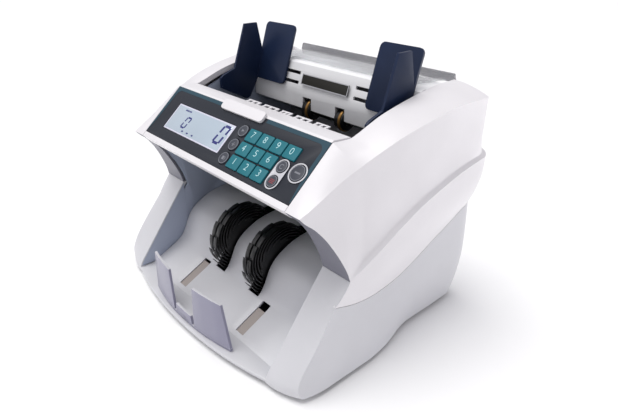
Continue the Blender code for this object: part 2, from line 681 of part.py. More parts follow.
def label_plate():
    """Blank dark plate on the hopper's back, following its lean."""
    bm = bmesh.new()
    low, high = LABEL_RAKE
    lean = Vector((0, high[0] - low[0], high[1] - low[1])).normalized()
    out = Vector((0, -lean.z, lean.y))
    base = Vector((0, low[0], low[1])) + out * 0.6
    corners = rectangle(-LABEL_HALF_WIDTH, LABEL_HALF_WIDTH, 0, LABEL_HEIGHT)
    front = [base + Vector((x, 0, 0)) + lean * rise + out * 0.9 for x, rise in corners]
    back = [p - out * 0.8 for p in front]
    add_loop_solid(bm, back, front)
    return new_object("label_plate", bm, LABEL)


# ---- fixed pieces --------------------------------------------------------------------------------
def fence_y(x):
    """Front face of the fence, which bows forward in the middle."""
    return FENCE_Y + FENCE_BOW * x * x


def note_fence():
    """Two tall plates and a low middle tab that stop the stacked notes, on one foot strip."""
    bm = bmesh.new()
    foot = FOOT_HEIGHT + LIP_HEIGHT + GAP
    add_curved_wall(bm, [(x, foot, foot + FENCE_THICK) for x in FENCE_XS])
    obj = new_object("note_fence", bm, GREY)
    for sign in (-1, 1):
        plate = bmesh.new()
        spans = []
        for share in (0.0, 0.33, 0.67, 1.0):
            spans.append([sign * (a + (b - a) * share) for a, b in zip(FENCE_INNER_X, FENCE_OUTER_X)])
        add_fence_plate(plate, [s[0] for s in spans], [s[1] for s in spans], foot + 1, FENCE_TOP)
        boolean(obj, new_object("fence_tool", plate, GREY), "UNION")
    tab = bmesh.new()
    add_fence_plate(tab, FENCE_TAB_LOW, FENCE_TAB_HIGH, foot + 1, FENCE_TAB_TOP)
    boolean(obj, new_object("tab_tool", tab, GREY), "UNION")
    return obj


def add_curved_wall(bm, spans):
    """An upright wall along the fence's bow from (x, bottom, top) spans."""
    add_loop_solid(bm, [(x, fence_y(x), z0) for x, z0, z1 in spans]
                   + [(x, fence_y(x) + FENCE_THICK, z0) for x, z0, z1 in reversed(spans)],
                   [(x, fence_y(x), z1) for x, z0, z1 in spans]
                   + [(x, fence_y(x) + FENCE_THICK, z1) for x, z0, z1 in reversed(spans)])


def add_fence_plate(bm, low_xs, high_xs, z0, z1):
    """A bowed plate whose bottom and top are cut to different widths."""
    add_loop_solid(bm, [(x, fence_y(x) + FENCE_INSET, z0) for x in low_xs]
                   + [(x, fence_y(x) + FENCE_THICK - FENCE_INSET, z0) for x in reversed(low_xs)],
                   [(x, fence_y(x) + FENCE_INSET, z1) for x in high_xs]
                   + [(x, fence_y(x) + FENCE_THICK - FENCE_INSET, z1) for x in reversed(high_xs)])


def side_frames():
    """Steel side plates that carry every shaft, just outside the hopper and the stacker."""
    for side, sign in (("right", 1), ("left", -1)):
        bm = bmesh.new()
        add_prism_x(bm, FRAME_OUTLINE, sign * FRAME_X[0], sign * FRAME_X[1])
        obj = new_object(f"side_frame_{side}", bm, STEEL)
        holes = bmesh.new()
        x0, x1 = sign * (FRAME_X[0] - 2), sign * (FRAME_X[1] + 2)
        for axis in (WHEEL_AXIS, PICKUP_AXIS, DRUM_AXIS):
            add_prism_x(holes, circle(axis, SHAFT_RADIUS + GAP, 16), x0, x1)
        add_prism_x(holes, circle(COVER_AXIS, COVER_PIN_RADIUS + GAP, 16), x0, x1)
        boolean(obj, new_object(f"holes_tool_{side}", holes, STEEL), "DIFFERENCE")


def feet_and_plate():
    """Four rubber feet and the steel plate that closes the housing underneath."""
    for name, x, y in FEET:
        bm = bmesh.new()
        low = [(px, py, 0) for px, py in circle((x, y), FOOT_RADII[0], 20)]
        high = [(px, py, FOOT_HEIGHT - 0.3) for px, py in circle((x, y), FOOT_RADII[1], 20)]
        add_loop_solid(bm, low, high)
        new_object(f"foot_{name}", bm, RUBBER, smooth_angle=35)
    bm = bmesh.new()
    add_loop_solid(bm, [(x, y, FOOT_HEIGHT) for x, y in BASE_OUTLINE],
                   [(x, y, FOOT_HEIGHT + BASE_THICK) for x, y in BASE_OUTLINE])
    new_object("base_plate", bm, STEEL)


def note_tray():
    """Clear sheet behind the hopper with a smoky upright rim."""
    bm = bmesh.new()
    add_prism_x(bm, TRAY_LINE, -TRAY_HALF_WIDTH, TRAY_HALF_WIDTH)
    new_object("note_tray", bm, CLEAR)
    bm = bmesh.new()
    low = rectangle(-RIM_HALF_WIDTH, RIM_HALF_WIDTH, *RIM_Y)
    high = rectangle(RIM_TAPER - RIM_HALF_WIDTH, RIM_HALF_WIDTH - RIM_TAPER, *RIM_Y)
    add_loop_solid(bm, [(x, y, RIM_HEIGHT[0]) for x, y in low], [(x, y, RIM_HEIGHT[1]) for x, y in high])
    new_object("tray_rim", bm, SMOKE)


def guides():
    """Black feed floor of the hopper and the curved wall under it."""
    cuts = symmetric([*FEED_NOTCH_X, SHEET_HALF_WIDTH])
    sheet_x("feed_guide", FEED_LINE, cuts, [(1, 4, 6), (3, 4, 6)], GUIDE_SHEET, BLACK)
    sheet_x("throat_guide", THROAT_LINE, [-SHEET_HALF_WIDTH, 0, SHEET_HALF_WIDTH], [], GUIDE_SHEET, BLACK)


# ---- turning pieces --------------------------------------------------------------------------------
def finger_outline(centre, angle):
    """One curved finger of a stacking wheel, from the hub to its tip."""
    outer, inner = [], []
    root = HUB_RADIUS - FINGER_HALF[0]
    for k in range(5):
        share = k / 4
        radius = root + (WHEEL_RADIUS - root) * share
        a = angle - FINGER_SWEEP * share ** 1.2
        half = FINGER_HALF[0] + (FINGER_HALF[1] - FINGER_HALF[0]) * share
        y, z = centre[0] + radius * math.cos(a), centre[1] + radius * math.sin(a)
        dy, dz = half * math.sin(a - FINGER_LEAN), half * math.cos(a - FINGER_LEAN)
        outer.append((y + dy, z - dz))
        inner.append((y - dy, z + dz))
    return outer + list(reversed(inner))


def stacking_wheels():
    """Two wheels of curved fingers that lay the counted notes in the stacker."""
    for side, sign in (("left", -1), ("right", 1)):
        x0, x1 = sign * WHEEL_X - WHEEL_HALF_WIDTH, sign * WHEEL_X + WHEEL_HALF_WIDTH
        bm = bmesh.new()
        add_tube_x(bm, WHEEL_AXIS, HUB_RADIUS, SHAFT_RADIUS + SHAFT_FIT, x0, x1, 24)
        obj = new_object(f"stacking_wheel_{side}", bm, BLACK, origin=(0, *WHEEL_AXIS), smooth_angle=35)
        fingers = bmesh.new()
        for k in range(FINGERS):
            add_prism_x(fingers, finger_outline(WHEEL_AXIS, math.tau * k / FINGERS), x0 + 0.3, x1 - 0.3)
        boolean(obj, new_object(f"fingers_tool_{side}", fingers, BLACK), "UNION")
    shaft("wheel_shaft", WHEEL_AXIS)


def shaft(name, axis):
    """A plain shaft from side frame to side frame."""
    bm = bmesh.new()
    add_turned_x(bm, axis, [(-SHAFT_HALF_LENGTH, SHAFT_RADIUS), (SHAFT_HALF_LENGTH, SHAFT_RADIUS)], 16)
    new_object(name, bm, STEEL, origin=(0, *axis), smooth_angle=35)


def ribbed(centres, half_width, high, low, end):
    """Sleeve steps with a wide rib at each centre and a thin core between them."""
    steps = [(-end, low)]
    for centre in centres:
        steps += [(centre - half_width, low), (centre - half_width, high), (centre + half_width, high),
                  (centre + half_width, low)]
    return steps + [(end, low)]


def rollers():
    """Pick-up rollers and counting drum, each a ribbed sleeve on its own shaft."""
    bore = SHAFT_RADIUS + SHAFT_FIT
    bm = bmesh.new()
    add_sleeve_x(bm, PICKUP_AXIS, ribbed((-PICKUP_X, PICKUP_X), 4.6, PICKUP_RADIUS, PICKUP_CORE, 30), bore, 24)
    new_object("pickup_rollers", bm, BRASS, origin=(0, *PICKUP_AXIS), smooth_angle=35)
    shaft("pickup_shaft", PICKUP_AXIS)
    bm = bmesh.new()
    add_sleeve_x(bm, DRUM_AXIS, ribbed((-56, 0, 56), 14, DRUM_RADIUS, DRUM_CORE, 80), bore, 28)
    new_object("counting_drum", bm, RUBBER, origin=(0, *DRUM_AXIS), smooth_angle=35)
    shaft("drum_shaft", DRUM_AXIS)


def drive():
    """Motor, its shaft and the two belt pulleys inside the right side frame."""
    bm = bmesh.new()
    add_tube_x(bm, MOTOR_AXIS, MOTOR_RADIUS, SHAFT_RADIUS + GAP, *MOTOR_X, 24)
    obj = new_object("motor", bm, STEEL, smooth_angle=35)
    foot = bmesh.new()
    add_box(foot, (MOTOR_X[0] + 4, MOTOR_AXIS[0] - 14, ELECTRICS_Z),
            (MOTOR_X[1] - 4, MOTOR_AXIS[0] + 14, MOTOR_AXIS[1] - 12))
    boolean(obj, new_object("motor_foot_tool", foot, STEEL), "UNION")
    bm = bmesh.new()
    add_turned_x(bm, MOTOR_AXIS, [(30, SHAFT_RADIUS), (PULLEY_X[1] + 1, SHAFT_RADIUS)], 16)
    new_object("motor_shaft", bm, STEEL, origin=(0, *MOTOR_AXIS), smooth_angle=35)
    for name, axis, radius in (("motor_pulley", MOTOR_AXIS, MOTOR_PULLEY_RADIUS),
                               ("drum_pulley", DRUM_AXIS, DRUM_PULLEY_RADIUS)):
        bm = bmesh.new()
        add_tube_x(bm, axis, radius, SHAFT_RADIUS + SHAFT_FIT, *PULLEY_X, 24)
        new_object(name, bm, BLACK, origin=(0, *axis), smooth_angle=35)
    drive_belt()


def drive_belt():
    """Closed belt round both pulleys, with running clearance."""
    bm = bmesh.new()
    outer = belt_outline(GAP + BELT_THICK)
    inner = belt_outline(GAP)
    x0, x1 = PULLEY_X[0] + 0.6, PULLEY_X[1] - 0.6
    rings = [[bm.verts.new((x, y, z)) for y, z in line]
             for x, line in ((x0, outer), (x1, outer), (x1, inner), (x0, inner))]
    for k in range(4):
        a, b = rings[k], rings[(k + 1) % 4]
        for i in range(len(a)):
            j = (i + 1) % len(a)
            bm.faces.new((a[i], a[j], b[j], b[i]))
    new_object("drive_belt", bm, RUBBER)


def belt_outline(extra):
    """Two arcs joined by the pulleys' outer tangents."""
    big, small = Vector(DRUM_AXIS), Vector(MOTOR_AXIS)
    span = small - big
    heading = math.atan2(span.y, span.x)
    lean = math.acos((DRUM_PULLEY_RADIUS - MOTOR_PULLEY_RADIUS) / span.length)
    points = []
    for centre, radius, start, stop in ((big, DRUM_PULLEY_RADIUS, heading + lean, heading + math.tau - lean),
                                        (small, MOTOR_PULLEY_RADIUS, heading - lean, heading + lean)):
        for k in range(10):
            a = start + (stop - start) * k / 9
            r = (radius + extra) / math.cos((stop - start) / 18)
            points.append((centre.x + r * math.cos(a), centre.y + r * math.sin(a)))
    return points


# ---- electrics -----------------------------------------------------------------------------------
def box_at(centre, half, y0, y1):
    """A closed box round an (x, z) centre from y0 to y1."""
    bm = bmesh.new()
    add_box(bm, (centre[0] - half[0], y0, centre[1] - half[1]), (centre[0] + half[0], y1, centre[1] + half[1]))
    return bm


def electrics():
    """Power supply and main board on the base plate, and the rear panel with its inlet and switch."""
    low, high, top = SUPPLY_BOX
    bm = bmesh.new()
    add_box(bm, (*low, ELECTRICS_Z), (*high, top))
    new_object("power_supply", bm, STEEL)
    low, high, top = BOARD_BOX
    bm = bmesh.new()
    add_box(bm, (*low, ELECTRICS_Z + 6), (*high, top))
    obj = new_object("main_board", bm, BOARD)
    chips = bmesh.new()
    for x in CHIP_XS:
        add_box(chips, (x - 8, 15, 26), (x + 8, 18.4, 42))
    boolean(obj, new_object("chips_tool", chips, BOARD), "UNION")
    rear_panel()
    power_inlet()
    power_switch()


def rear_panel():
    """Flat panel in the rear window, cut out for the inlet and the switch, with upright vent slots."""
    x0, x1, z0, z1 = REAR_WINDOW
    bm = bmesh.new()
    add_box(bm, (x0 + GAP, REAR_Y[0], z0 + GAP), (x1 - GAP, REAR_Y[1], z1 - GAP))
    obj = new_object("rear_panel", bm, GREY)
    cut = bmesh.new()
    for centre, half in ((INLET, INLET_HALF), (SWITCH, SWITCH_HALF)):
        add_box(cut, (centre[0] - half[0] - GAP, 100, centre[1] - half[1] - GAP),
                (centre[0] + half[0] + GAP, 112, centre[1] + half[1] + GAP))
    for k in range(VENTS):
        x = VENT_START + k * VENT_PITCH
        add_box(cut, (x, 100, VENT_Z[0]), (x + VENT_WIDTH, 112, VENT_Z[1]))
    boolean(obj, new_object("rear_cut_tool", cut, GREY), "DIFFERENCE")


def power_inlet():
    """Three-pin inlet socket, open to the rear."""
    obj = new_object("power_inlet", box_at(INLET, INLET_HALF, 88, 108.2), BLACK)
    boolean(obj, new_object("pocket_tool", box_at(INLET, SOCKET_HALF, 92, 112), BLACK), "DIFFERENCE")
    pins = bmesh.new()
    for dx, dz in PINS:
        x, z = INLET[0] + dx, INLET[1] + dz
        add_box(pins, (x - 1, 91, z - 2.5), (x + 1, 103.5, z + 2.5))
    boolean(obj, new_object("pins_tool", pins, BLACK), "UNION")


def power_switch():
    """Rocker switch: a body with a well, and the rocker that tilts in it about an upright axis."""
    obj = new_object("switch_body", box_at(SWITCH, SWITCH_HALF, 94, 108), BLACK)
    boolean(obj, new_object("well_tool", box_at(SWITCH, WELL_HALF, 98, 112), BLACK), "DIFFERENCE")
    rocker = bmesh.new()
    add_loop_solid(rocker, [(SWITCH[0] + dx, y, SWITCH[1] - ROCKER_HALF_HEIGHT) for dx, y in ROCKER_LINE],
                   [(SWITCH[0] + dx, y, SWITCH[1] + ROCKER_HALF_HEIGHT) for dx, y in ROCKER_LINE])
    new_object("power_switch", rocker, BLACK, origin=(SWITCH[0], ROCKER_AXIS_Y, SWITCH[1]))


# ---- opening front cover ---------------------------------------------------------------------------
def front_cover():
    """White cover that carries the keypad and swings forward on two pins at its lower edge."""
    bm = bmesh.new()
    inner = [panel_point(0, PANEL_LENGTH + 0.2, n)[1:] for n in (-2.6, 0)]
    add_prism_x(bm, [*inner, *BAR_TOP, *BAR_REAR], -COVER_X, COVER_X)
    obj = new_object("front_cover", bm, WHITE, origin=(0, *COVER_AXIS))
    nose = bmesh.new()
    behind = [panel_point(0, s, n)[1:] for s, n in ((-0.3, 0), (-0.3, -9), (0.6, -13))]
    add_prism_x(nose, [BROW_Z[0], *behind, *NOSE_LINE], -COVER_X, COVER_X)
    boolean(obj, new_object("nose_tool", nose, WHITE), "UNION")
    for sign in (-1, 1):
        wall = bmesh.new()
        wall_line = [panel_point(0, s, n)[1:] for s, n in WALL_LINE]
        add_prism_x(wall, wall_line, sign * (COVER_X - 0.2), sign * (COVER_X - 2.4))
        boolean(obj, new_object("wall_tool", wall, WHITE), "UNION")
        pin = bmesh.new()
        add_turned_x(pin, COVER_AXIS, [(sign * (COVER_X - 1.5), COVER_PIN_RADIUS),
                                       (sign * (FRAME_X[1] + 1.2), COVER_PIN_RADIUS)], 16)
        boolean(obj, new_object("pin_tool", pin, WHITE), "UNION")
    tab = bmesh.new()
    x0, x1, s0 = TAB
    add_panel_prism(tab, rectangle(x0, x1, s0, PANEL_LENGTH + 3, 3.0), *TAB_DEPTH)
    boolean(obj, new_object("tab_tool", tab, WHITE), "UNION")
    root = bmesh.new()
    add_panel_prism(root, rectangle(x0 + 3, x1 - 3, PANEL_LENGTH + 0.8, PANEL_LENGTH + 2.6), -2.0, 1.5)
    boolean(obj, new_object("tab_root_tool", root, WHITE), "UNION")
    return obj


def key_list():
    """(name, outline, centre) of every key in panel coordinates."""
    keys = []
    for row, digits in enumerate(KEY_ROWS):
        for column, digit in enumerate(digits):
            x0 = KEY_LEFT + column * KEY_PITCH_X + KEY_GAP / 2
            s0 = KEY_BOTTOM + row * KEY_PITCH_S + KEY_GAP / 2
            width, depth = KEY_PITCH_X - KEY_GAP, KEY_PITCH_S - KEY_GAP
            outline = rectangle(x0, x0 + width, s0, s0 + depth, 1.0, 2)
            keys.append((f"key_{digit}", outline, (x0 + width / 2, s0 + depth / 2)))
    for name, x, s, radius in ROUND_KEYS:
        keys.append((name, circle((x, s), radius, 20), (x, s)))
    return keys


def grown(outline, centre, amount):
    """The outline pushed outward from its centre by an amount."""
    points = []
    for x, s in outline:
        dx, ds = x - centre[0], s - centre[1]
        length = math.hypot(dx, ds)
        points.append((x + dx / length * amount * 1.35, s + ds / length * amount * 1.35))
    return points


def keypad():
    """The slate panel with its sixteen keys, the two rings, the screen and the board behind them."""
    bm = bmesh.new()
    add_panel_prism(bm, rectangle(-PANEL_HALF_WIDTH, PANEL_HALF_WIDTH, 0, PANEL_LENGTH - 0.2), -PANEL_THICK, 0)
    panel = new_object("control_panel", bm, SLATE, origin=(0, *COVER_AXIS))
    cut = bmesh.new()
    add_panel_prism(cut, rectangle(*LCD_WINDOW), *THROUGH)
    for name, outline, centre in key_list():
        add_panel_prism(cut, grown(outline, centre, GAP), *THROUGH)
    boolean(panel, new_object("key_holes_tool", cut, SLATE), "DIFFERENCE")
    for name, outline, centre in key_list():
        bm = bmesh.new()
        add_panel_prism(bm, outline, -KEY_DEPTH, KEY_RISE)
        look = TEAL if name[4:].isdigit() else DARK
        new_object(name, bm, look, origin=panel_point(*centre))
    button_rings()
    screen()
    bm = bmesh.new()
    add_panel_prism(bm, rectangle(-93, 93, 3, 46), -8.6, -7)
    new_object("key_board", bm, BOARD, origin=(0, *COVER_AXIS))


def button_rings():
    """Silver outlines just proud of the panel: one round the paired keys, one round the start key."""
    pill_x, top, bottom = ROUND_KEYS[3][1], ROUND_KEYS[3][2], ROUND_KEYS[4][2]
    arcs = [(pill_x + PILL_RADIUS * math.cos(a), centre + PILL_RADIUS * math.sin(a))
            for centre, start in ((top, 0.0), (bottom, math.pi))
            for a in [start + math.pi * k / 10 for k in range(11)]]
    start_key = ROUND_KEYS[5]
    for name, outline, keys in (("pill_ring", arcs, ROUND_KEYS[3:5]),
                                ("start_ring", circle(start_key[1:3], START_RING_RADIUS, 28), [start_key])):
        bm = bmesh.new()
        add_panel_prism(bm, outline, *RING_DEPTH)
        ring = new_object(name, bm, SILVER, origin=(0, *COVER_AXIS))
        holes = bmesh.new()
        for key, x, s, radius in keys:
            add_panel_prism(holes, circle((x, s), radius + RING_GAP, 20), *THROUGH)
        boolean(ring, new_object(f"{name}_tool", holes, SILVER), "DIFFERENCE")


def screen():
    """Raised bezel round the display, and the glass inside it."""
    x0, x1, s0, s1 = LCD_WINDOW
    across, up = LCD_BORDER
    bm = bmesh.new()
    add_panel_prism(bm, rectangle(x0 + GAP, x1 - GAP, s0 + GAP, s1 - GAP), -3.5, -0.1)
    frame = new_object("screen_frame", bm, WHITE, origin=(0, *COVER_AXIS))
    cut = bmesh.new()
    add_panel_prism(cut, rectangle(x0 + across, x1 - across, s0 + up, s1 - up), *THROUGH)
    boolean(frame, new_object("screen_cut_tool", cut, WHITE), "DIFFERENCE")
    across, up = across + GAP, up + GAP
    bm = bmesh.new()
    add_panel_prism(bm, rectangle(x0 + across, x1 - across, s0 + up, s1 - up), -3.2, -0.6)
    new_object("screen_glass", bm, SCREEN, origin=(0, *COVER_AXIS))


# ---- sliding note guides ------------------------------------------------------------------------------
def leaf_point(x, rise, depth):
    """A point on the leaning leaf: rise along it, depth behind its front."""
    return (x, LEAF_FOOT[0] + rise * math.sin(LEAF_LEAN) + depth * math.cos(LEAF_LEAN),
            LEAF_FOOT[1] + rise * math.cos(LEAF_LEAN) - depth * math.sin(LEAF_LEAN))


def note_guides():
    """Left and right edge guides: a leaning leaf, an upright side plate with a flared foot, and two pegs."""
    rise = (LEAF_TOP_Z - LEAF_FOOT[1]) / math.cos(LEAF_LEAN)
    for side, sign in (("left", -1), ("right", 1)):
        bm = bmesh.new()
        leaf = rectangle(GUIDE_LEAF_X, GUIDE_OUTER_X, 0, rise, LEAF_CORNER, 4)
        add_loop_solid(bm, [leaf_point(sign * x, r, 0) for x, r in leaf],
                       [leaf_point(sign * x, r, GUIDE_THICK) for x, r in leaf])
        obj = new_object(f"note_guide_{side}", bm, NAVY, origin=(sign * GUIDE_OUTER_X, *LEAF_FOOT))
        plate = bmesh.new()
        add_prism_x(plate, WING_OUTLINE, sign * GUIDE_OUTER_X, sign * (GUIDE_OUTER_X - GUIDE_THICK))
        boolean(obj, new_object(f"plate_tool_{side}", plate, NAVY), "UNION")
        for first, last in SLOT_ROWS:
            peg = bmesh.new()
            low, high = PLATE_LINE[first], PLATE_LINE[last]
            along_slope = Vector((high[0] - low[0], high[1] - low[1]))
            centre = Vector((low[0], low[1])) + along_slope / 2
            half = along_slope.length / 2 - 0.45
            unit = along_slope.normalized()
            out = Vector((unit.y, -unit.x))
            corners = [centre + unit * h + out * d for h, d in rectangle(-half, half, -PEG_REACH, PEG_REACH)]
            add_prism_x(peg, [(c.x, c.y) for c in corners], sign * PEG_X[0], sign * PEG_X[1])
            boolean(obj, new_object(f"peg_tool_{side}", peg, NAVY), "UNION")


def build_everything():
    upper_shell()
    base_shell()
    stacker_floor()
    hopper_plate()
    label_plate()
    note_fence()
    side_frames()
    feet_and_plate()
    note_tray()
    guides()
    stacking_wheels()
    rollers()
    drive()
    electrics()
    front_cover()
    keypad()
    note_guides()


clear_scene()
build_everything()
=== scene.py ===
import json
import math

import bmesh
import bpy
import numpy as np
from mathutils import Matrix, Vector


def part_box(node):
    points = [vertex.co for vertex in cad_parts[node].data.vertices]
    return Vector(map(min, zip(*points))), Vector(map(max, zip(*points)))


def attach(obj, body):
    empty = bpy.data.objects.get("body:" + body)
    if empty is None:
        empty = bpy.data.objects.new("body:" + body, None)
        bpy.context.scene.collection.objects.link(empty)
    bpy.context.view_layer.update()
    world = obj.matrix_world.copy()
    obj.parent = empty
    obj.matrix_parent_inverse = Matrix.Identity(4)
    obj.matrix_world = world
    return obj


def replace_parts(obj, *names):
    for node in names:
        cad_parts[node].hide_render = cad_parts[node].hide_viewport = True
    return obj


# The looks of the banknote counting machine. Shape values are in millimetres in the frame's axes;
# the front faces -Y and +X is on the right as seen from the front.
MM = 0.001

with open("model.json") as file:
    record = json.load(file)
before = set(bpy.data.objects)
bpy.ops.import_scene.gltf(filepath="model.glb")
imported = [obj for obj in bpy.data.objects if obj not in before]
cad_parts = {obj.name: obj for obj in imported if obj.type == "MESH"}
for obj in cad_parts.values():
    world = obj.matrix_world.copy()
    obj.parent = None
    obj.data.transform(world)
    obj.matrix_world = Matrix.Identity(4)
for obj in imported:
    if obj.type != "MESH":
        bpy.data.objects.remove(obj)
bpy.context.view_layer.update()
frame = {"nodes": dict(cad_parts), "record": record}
JOINTS = {joint["name"]: joint for joint in frame["record"]["behaviour"]["joints"]}
NODE_BODY = {node: body for body, nodes in frame["record"]["behaviour"]["bodies"].items() for node in nodes}
NODE_SLOT = {part["node"]: part["material_slot"] for part in frame["record"]["subparts"]}

# ---- driving dimensions ---------------------------------------------------------------------------
GAP = 0.4
SHELL_WALL = 2.0
FOOT_HEIGHT = 4.0
PATH_SIDE_X = 125.0
PATH_REAR_Y = 106.0
PATH_CORNER_R = 18.0
INNER_X = 98.5
OPENING_REAR_Y = 92.0
PANEL_FOOT = (-75.8, 138.9)
PANEL_TILT = math.radians(41.38)
NOTCH = (-45.7, 80.8)
CHEEK_SLOPE = 1.2946
CHEEK_FOOT = (-100.0, 10.0)
CHEEK_CURL_Z = 14.0
WHEEL_RADIUS = 33.5
WHEEL_CORE = 21.0
FINGERS = 16

# Outlines seen from the side, (y, value).
TOP_EDGE_X = [(-79.5, 113), (-70, 114.5), (-50, 117), (-25, 122.6), (0, 126.4), (30, 129.3), (60, 130),
              (88, 129.5)]
TOP_EDGE_Z = [(-79.5, 135.7), (-70, 140.5), (-50, 152), (-25, 165), (0, 174.5), (30, 181.5), (60, 185.5),
              (88, 184.5)]
RIM_Z = [(-38, 172.2), (-22, 171.2), (-14.5, 173.2), (-4.5, 176.9), (5.6, 180.4), (17.5, 183.4), (47, 189),
         (74, 192.4), (92, 192.6)]
RIDGE_X = [(-45.7, 126.4), (-33, 128.9), (-20, 130.6), (0, 132.4), (20, 133.2), (45, 133.8), (86, 134)]
RIDGE_Z = [(-45.7, 80.8), (-33, 89.6), (-20, 97.8), (-2, 109.5), (18, 119.4), (40, 127.2), (63, 133.4),
           (86, 137.5)]
CREASE_Z = [(-58, 64.0), (-36, 57.8), (-22, 56.4), (-5, 57.8), (11, 61.2), (46, 75.6), (72, 86.5), (86, 93)]
BROW_Z = [(-79.5, 135.7), (-75.8, 131.4), (-70, 126.4), (-62, 116.6), (-55.5, 105.6), (-50.6, 95.5),
          (-47.3, 87), (-45.7, 80.8)]
BROW_X = [(-79.5, 113), (-62, 118.5), (-52, 123), (-45.7, 126.4)]
REAR_RIM = [(0, 186), (86, 186), (92, 189.5), (98, 192.6)]
FOOT_EDGE_X = [(-60, 132), (-30, 132), (-12, 130.4), (4, 127), (20, 122.4), (32, 120.6), (60, 120.6),
               (86, 120)]
FLOOR_LINE = [(-87, 7.6), (-81, 10.6), (-69, 16.3), (-58, 22), (-53.6, 25.6), (-50.4, 30.4), (-47.7, 35.7),
              (-43.6, 44.2), (-37, 51.8), (-27, 57.8), (-16, 62), (-6, 63.8), (8, 65)]
REAR_RIDGE_Z = 138.5
REAR_CREASE_Z = 104.0
REAR_TOP_Z = 181.0

# Small pieces.
GLASS_TOP = -0.02                   # display face, out of the panel
LIT_RISE = 0.05                     # thickness of the display's lit bars
MARK_RISE = 0.06                    # thickness of the marks on the buttons
SENSOR_SLOT = (-86.0, -58.0)        # y of the front and rear end of the floor's outer slots
SCREW_INSET = 4.0                   # rear panel screw centres in from its edges
SCREW_PROFILE = ((2.7, 0.0), (2.7, 0.5), (2.2, 1.1), (1.2, 1.4))     # radius, height
LABEL_RAKE = ((45.7, 172.6), (48.9, 182.4))       # (y, z) of the label's lower and upper edge
LABEL_HALF_WIDTH = 29.0
LABEL_HEIGHT = 9.6
LABEL_FACE = 1.56                   # label border out of the rake line
LABEL_LINE = 0.7                    # width of the label's border
STRIP_HALF_WIDTH = 97.6
COMB_SPANS = ((-22, -6), (-1, 17), (21, 33), (38, 55), (60, 74))     # x of each stretch of the comb
HIGHLIGHT_EDGE_UP = 0.7                  # least upward part of a fence face's normal that gets the painted highlight
FINGER_SWEEP = math.radians(112)
FINGER_THICK = 1.9
FINGER_BAND = 4.4                   # width of each of a wheel's two rows of fingers

# Camera: place in millimetres, then its heading from +Y, its downward dip and its lens.
CAMERA_PLACE = (336.84, -270.12, 293.43)
CAMERA_AZIMUTH = math.radians(48.43)
CAMERA_DIP = math.radians(26.99)
CAMERA_LENS = 31.46


# ---- materials --------------------------------------------------------------------------------------
def linear(colour):
    """A display colour as the linear colour that shaders use."""
    return [c / 12.92 if c <= 0.04045 else ((c + 0.055) / 1.055) ** 2.4 for c in colour]


def plastic(name, colour, roughness, *, variation=0.03, grain=1100.0, bump=0.08, metallic=0.0, coat=0.0,
            transmission=0.0, alpha=1.0, specular=0.5, streak=None):
    """Moulded plastic or metal: slight colour drift, uneven gloss and a fine surface grain."""
    mat = bpy.data.materials.new(name)
    mat.use_nodes = True
    nodes, links = mat.node_tree.nodes, mat.node_tree.links
    shader = nodes["Principled BSDF"]
    shader.inputs["Metallic"].default_value = metallic
    shader.inputs["Coat Weight"].default_value = coat
    shader.inputs["Coat Roughness"].default_value = 0.15
    shader.inputs["Transmission Weight"].default_value = transmission
    shader.inputs["Alpha"].default_value = alpha
    shader.inputs["Specular IOR Level"].default_value = specular
    place = nodes.new("ShaderNodeTexCoord")
    stretch = nodes.new("ShaderNodeMapping")
    stretch.inputs["Scale"].default_value = streak or (1.0, 1.0, 1.0)
    links.new(place.outputs["Object"], stretch.inputs["Vector"])
    drift = nodes.new("ShaderNodeTexNoise")
    drift.inputs["Scale"].default_value = 22.0
    drift.inputs["Detail"].default_value = 5.0
    links.new(stretch.outputs["Vector"], drift.inputs["Vector"])
    tint = nodes.new("ShaderNodeValToRGB")
    base = linear(colour)
    tint.color_ramp.elements[0].position = 0.3
    tint.color_ramp.elements[1].position = 0.7
    tint.color_ramp.elements[0].color = [c * (1 - variation) for c in base] + [1]
    tint.color_ramp.elements[1].color = [min(1.0, c * (1 + variation)) for c in base] + [1]
    links.new(drift.outputs["Fac"], tint.inputs["Fac"])
    links.new(tint.outputs["Color"], shader.inputs["Base Color"])
    gloss = nodes.new("ShaderNodeMapRange")
    gloss.inputs["To Min"].default_value = roughness * 0.88
    gloss.inputs["To Max"].default_value = min(1.0, roughness * 1.12)
    links.new(drift.outputs["Fac"], gloss.inputs["Value"])
    links.new(gloss.outputs["Result"], shader.inputs["Roughness"])
    fine = nodes.new("ShaderNodeTexNoise")
    fine.inputs["Scale"].default_value = grain
    fine.inputs["Detail"].default_value = 2.0
    links.new(stretch.outputs["Vector"], fine.inputs["Vector"])
    relief = nodes.new("ShaderNodeBump")
    relief.inputs["Strength"].default_value = bump
    relief.inputs["Distance"].default_value = 0.0003
    links.new(fine.outputs["Fac"], relief.inputs["Height"])
    links.new(relief.outputs["Normal"], shader.inputs["Normal"])
    return mat


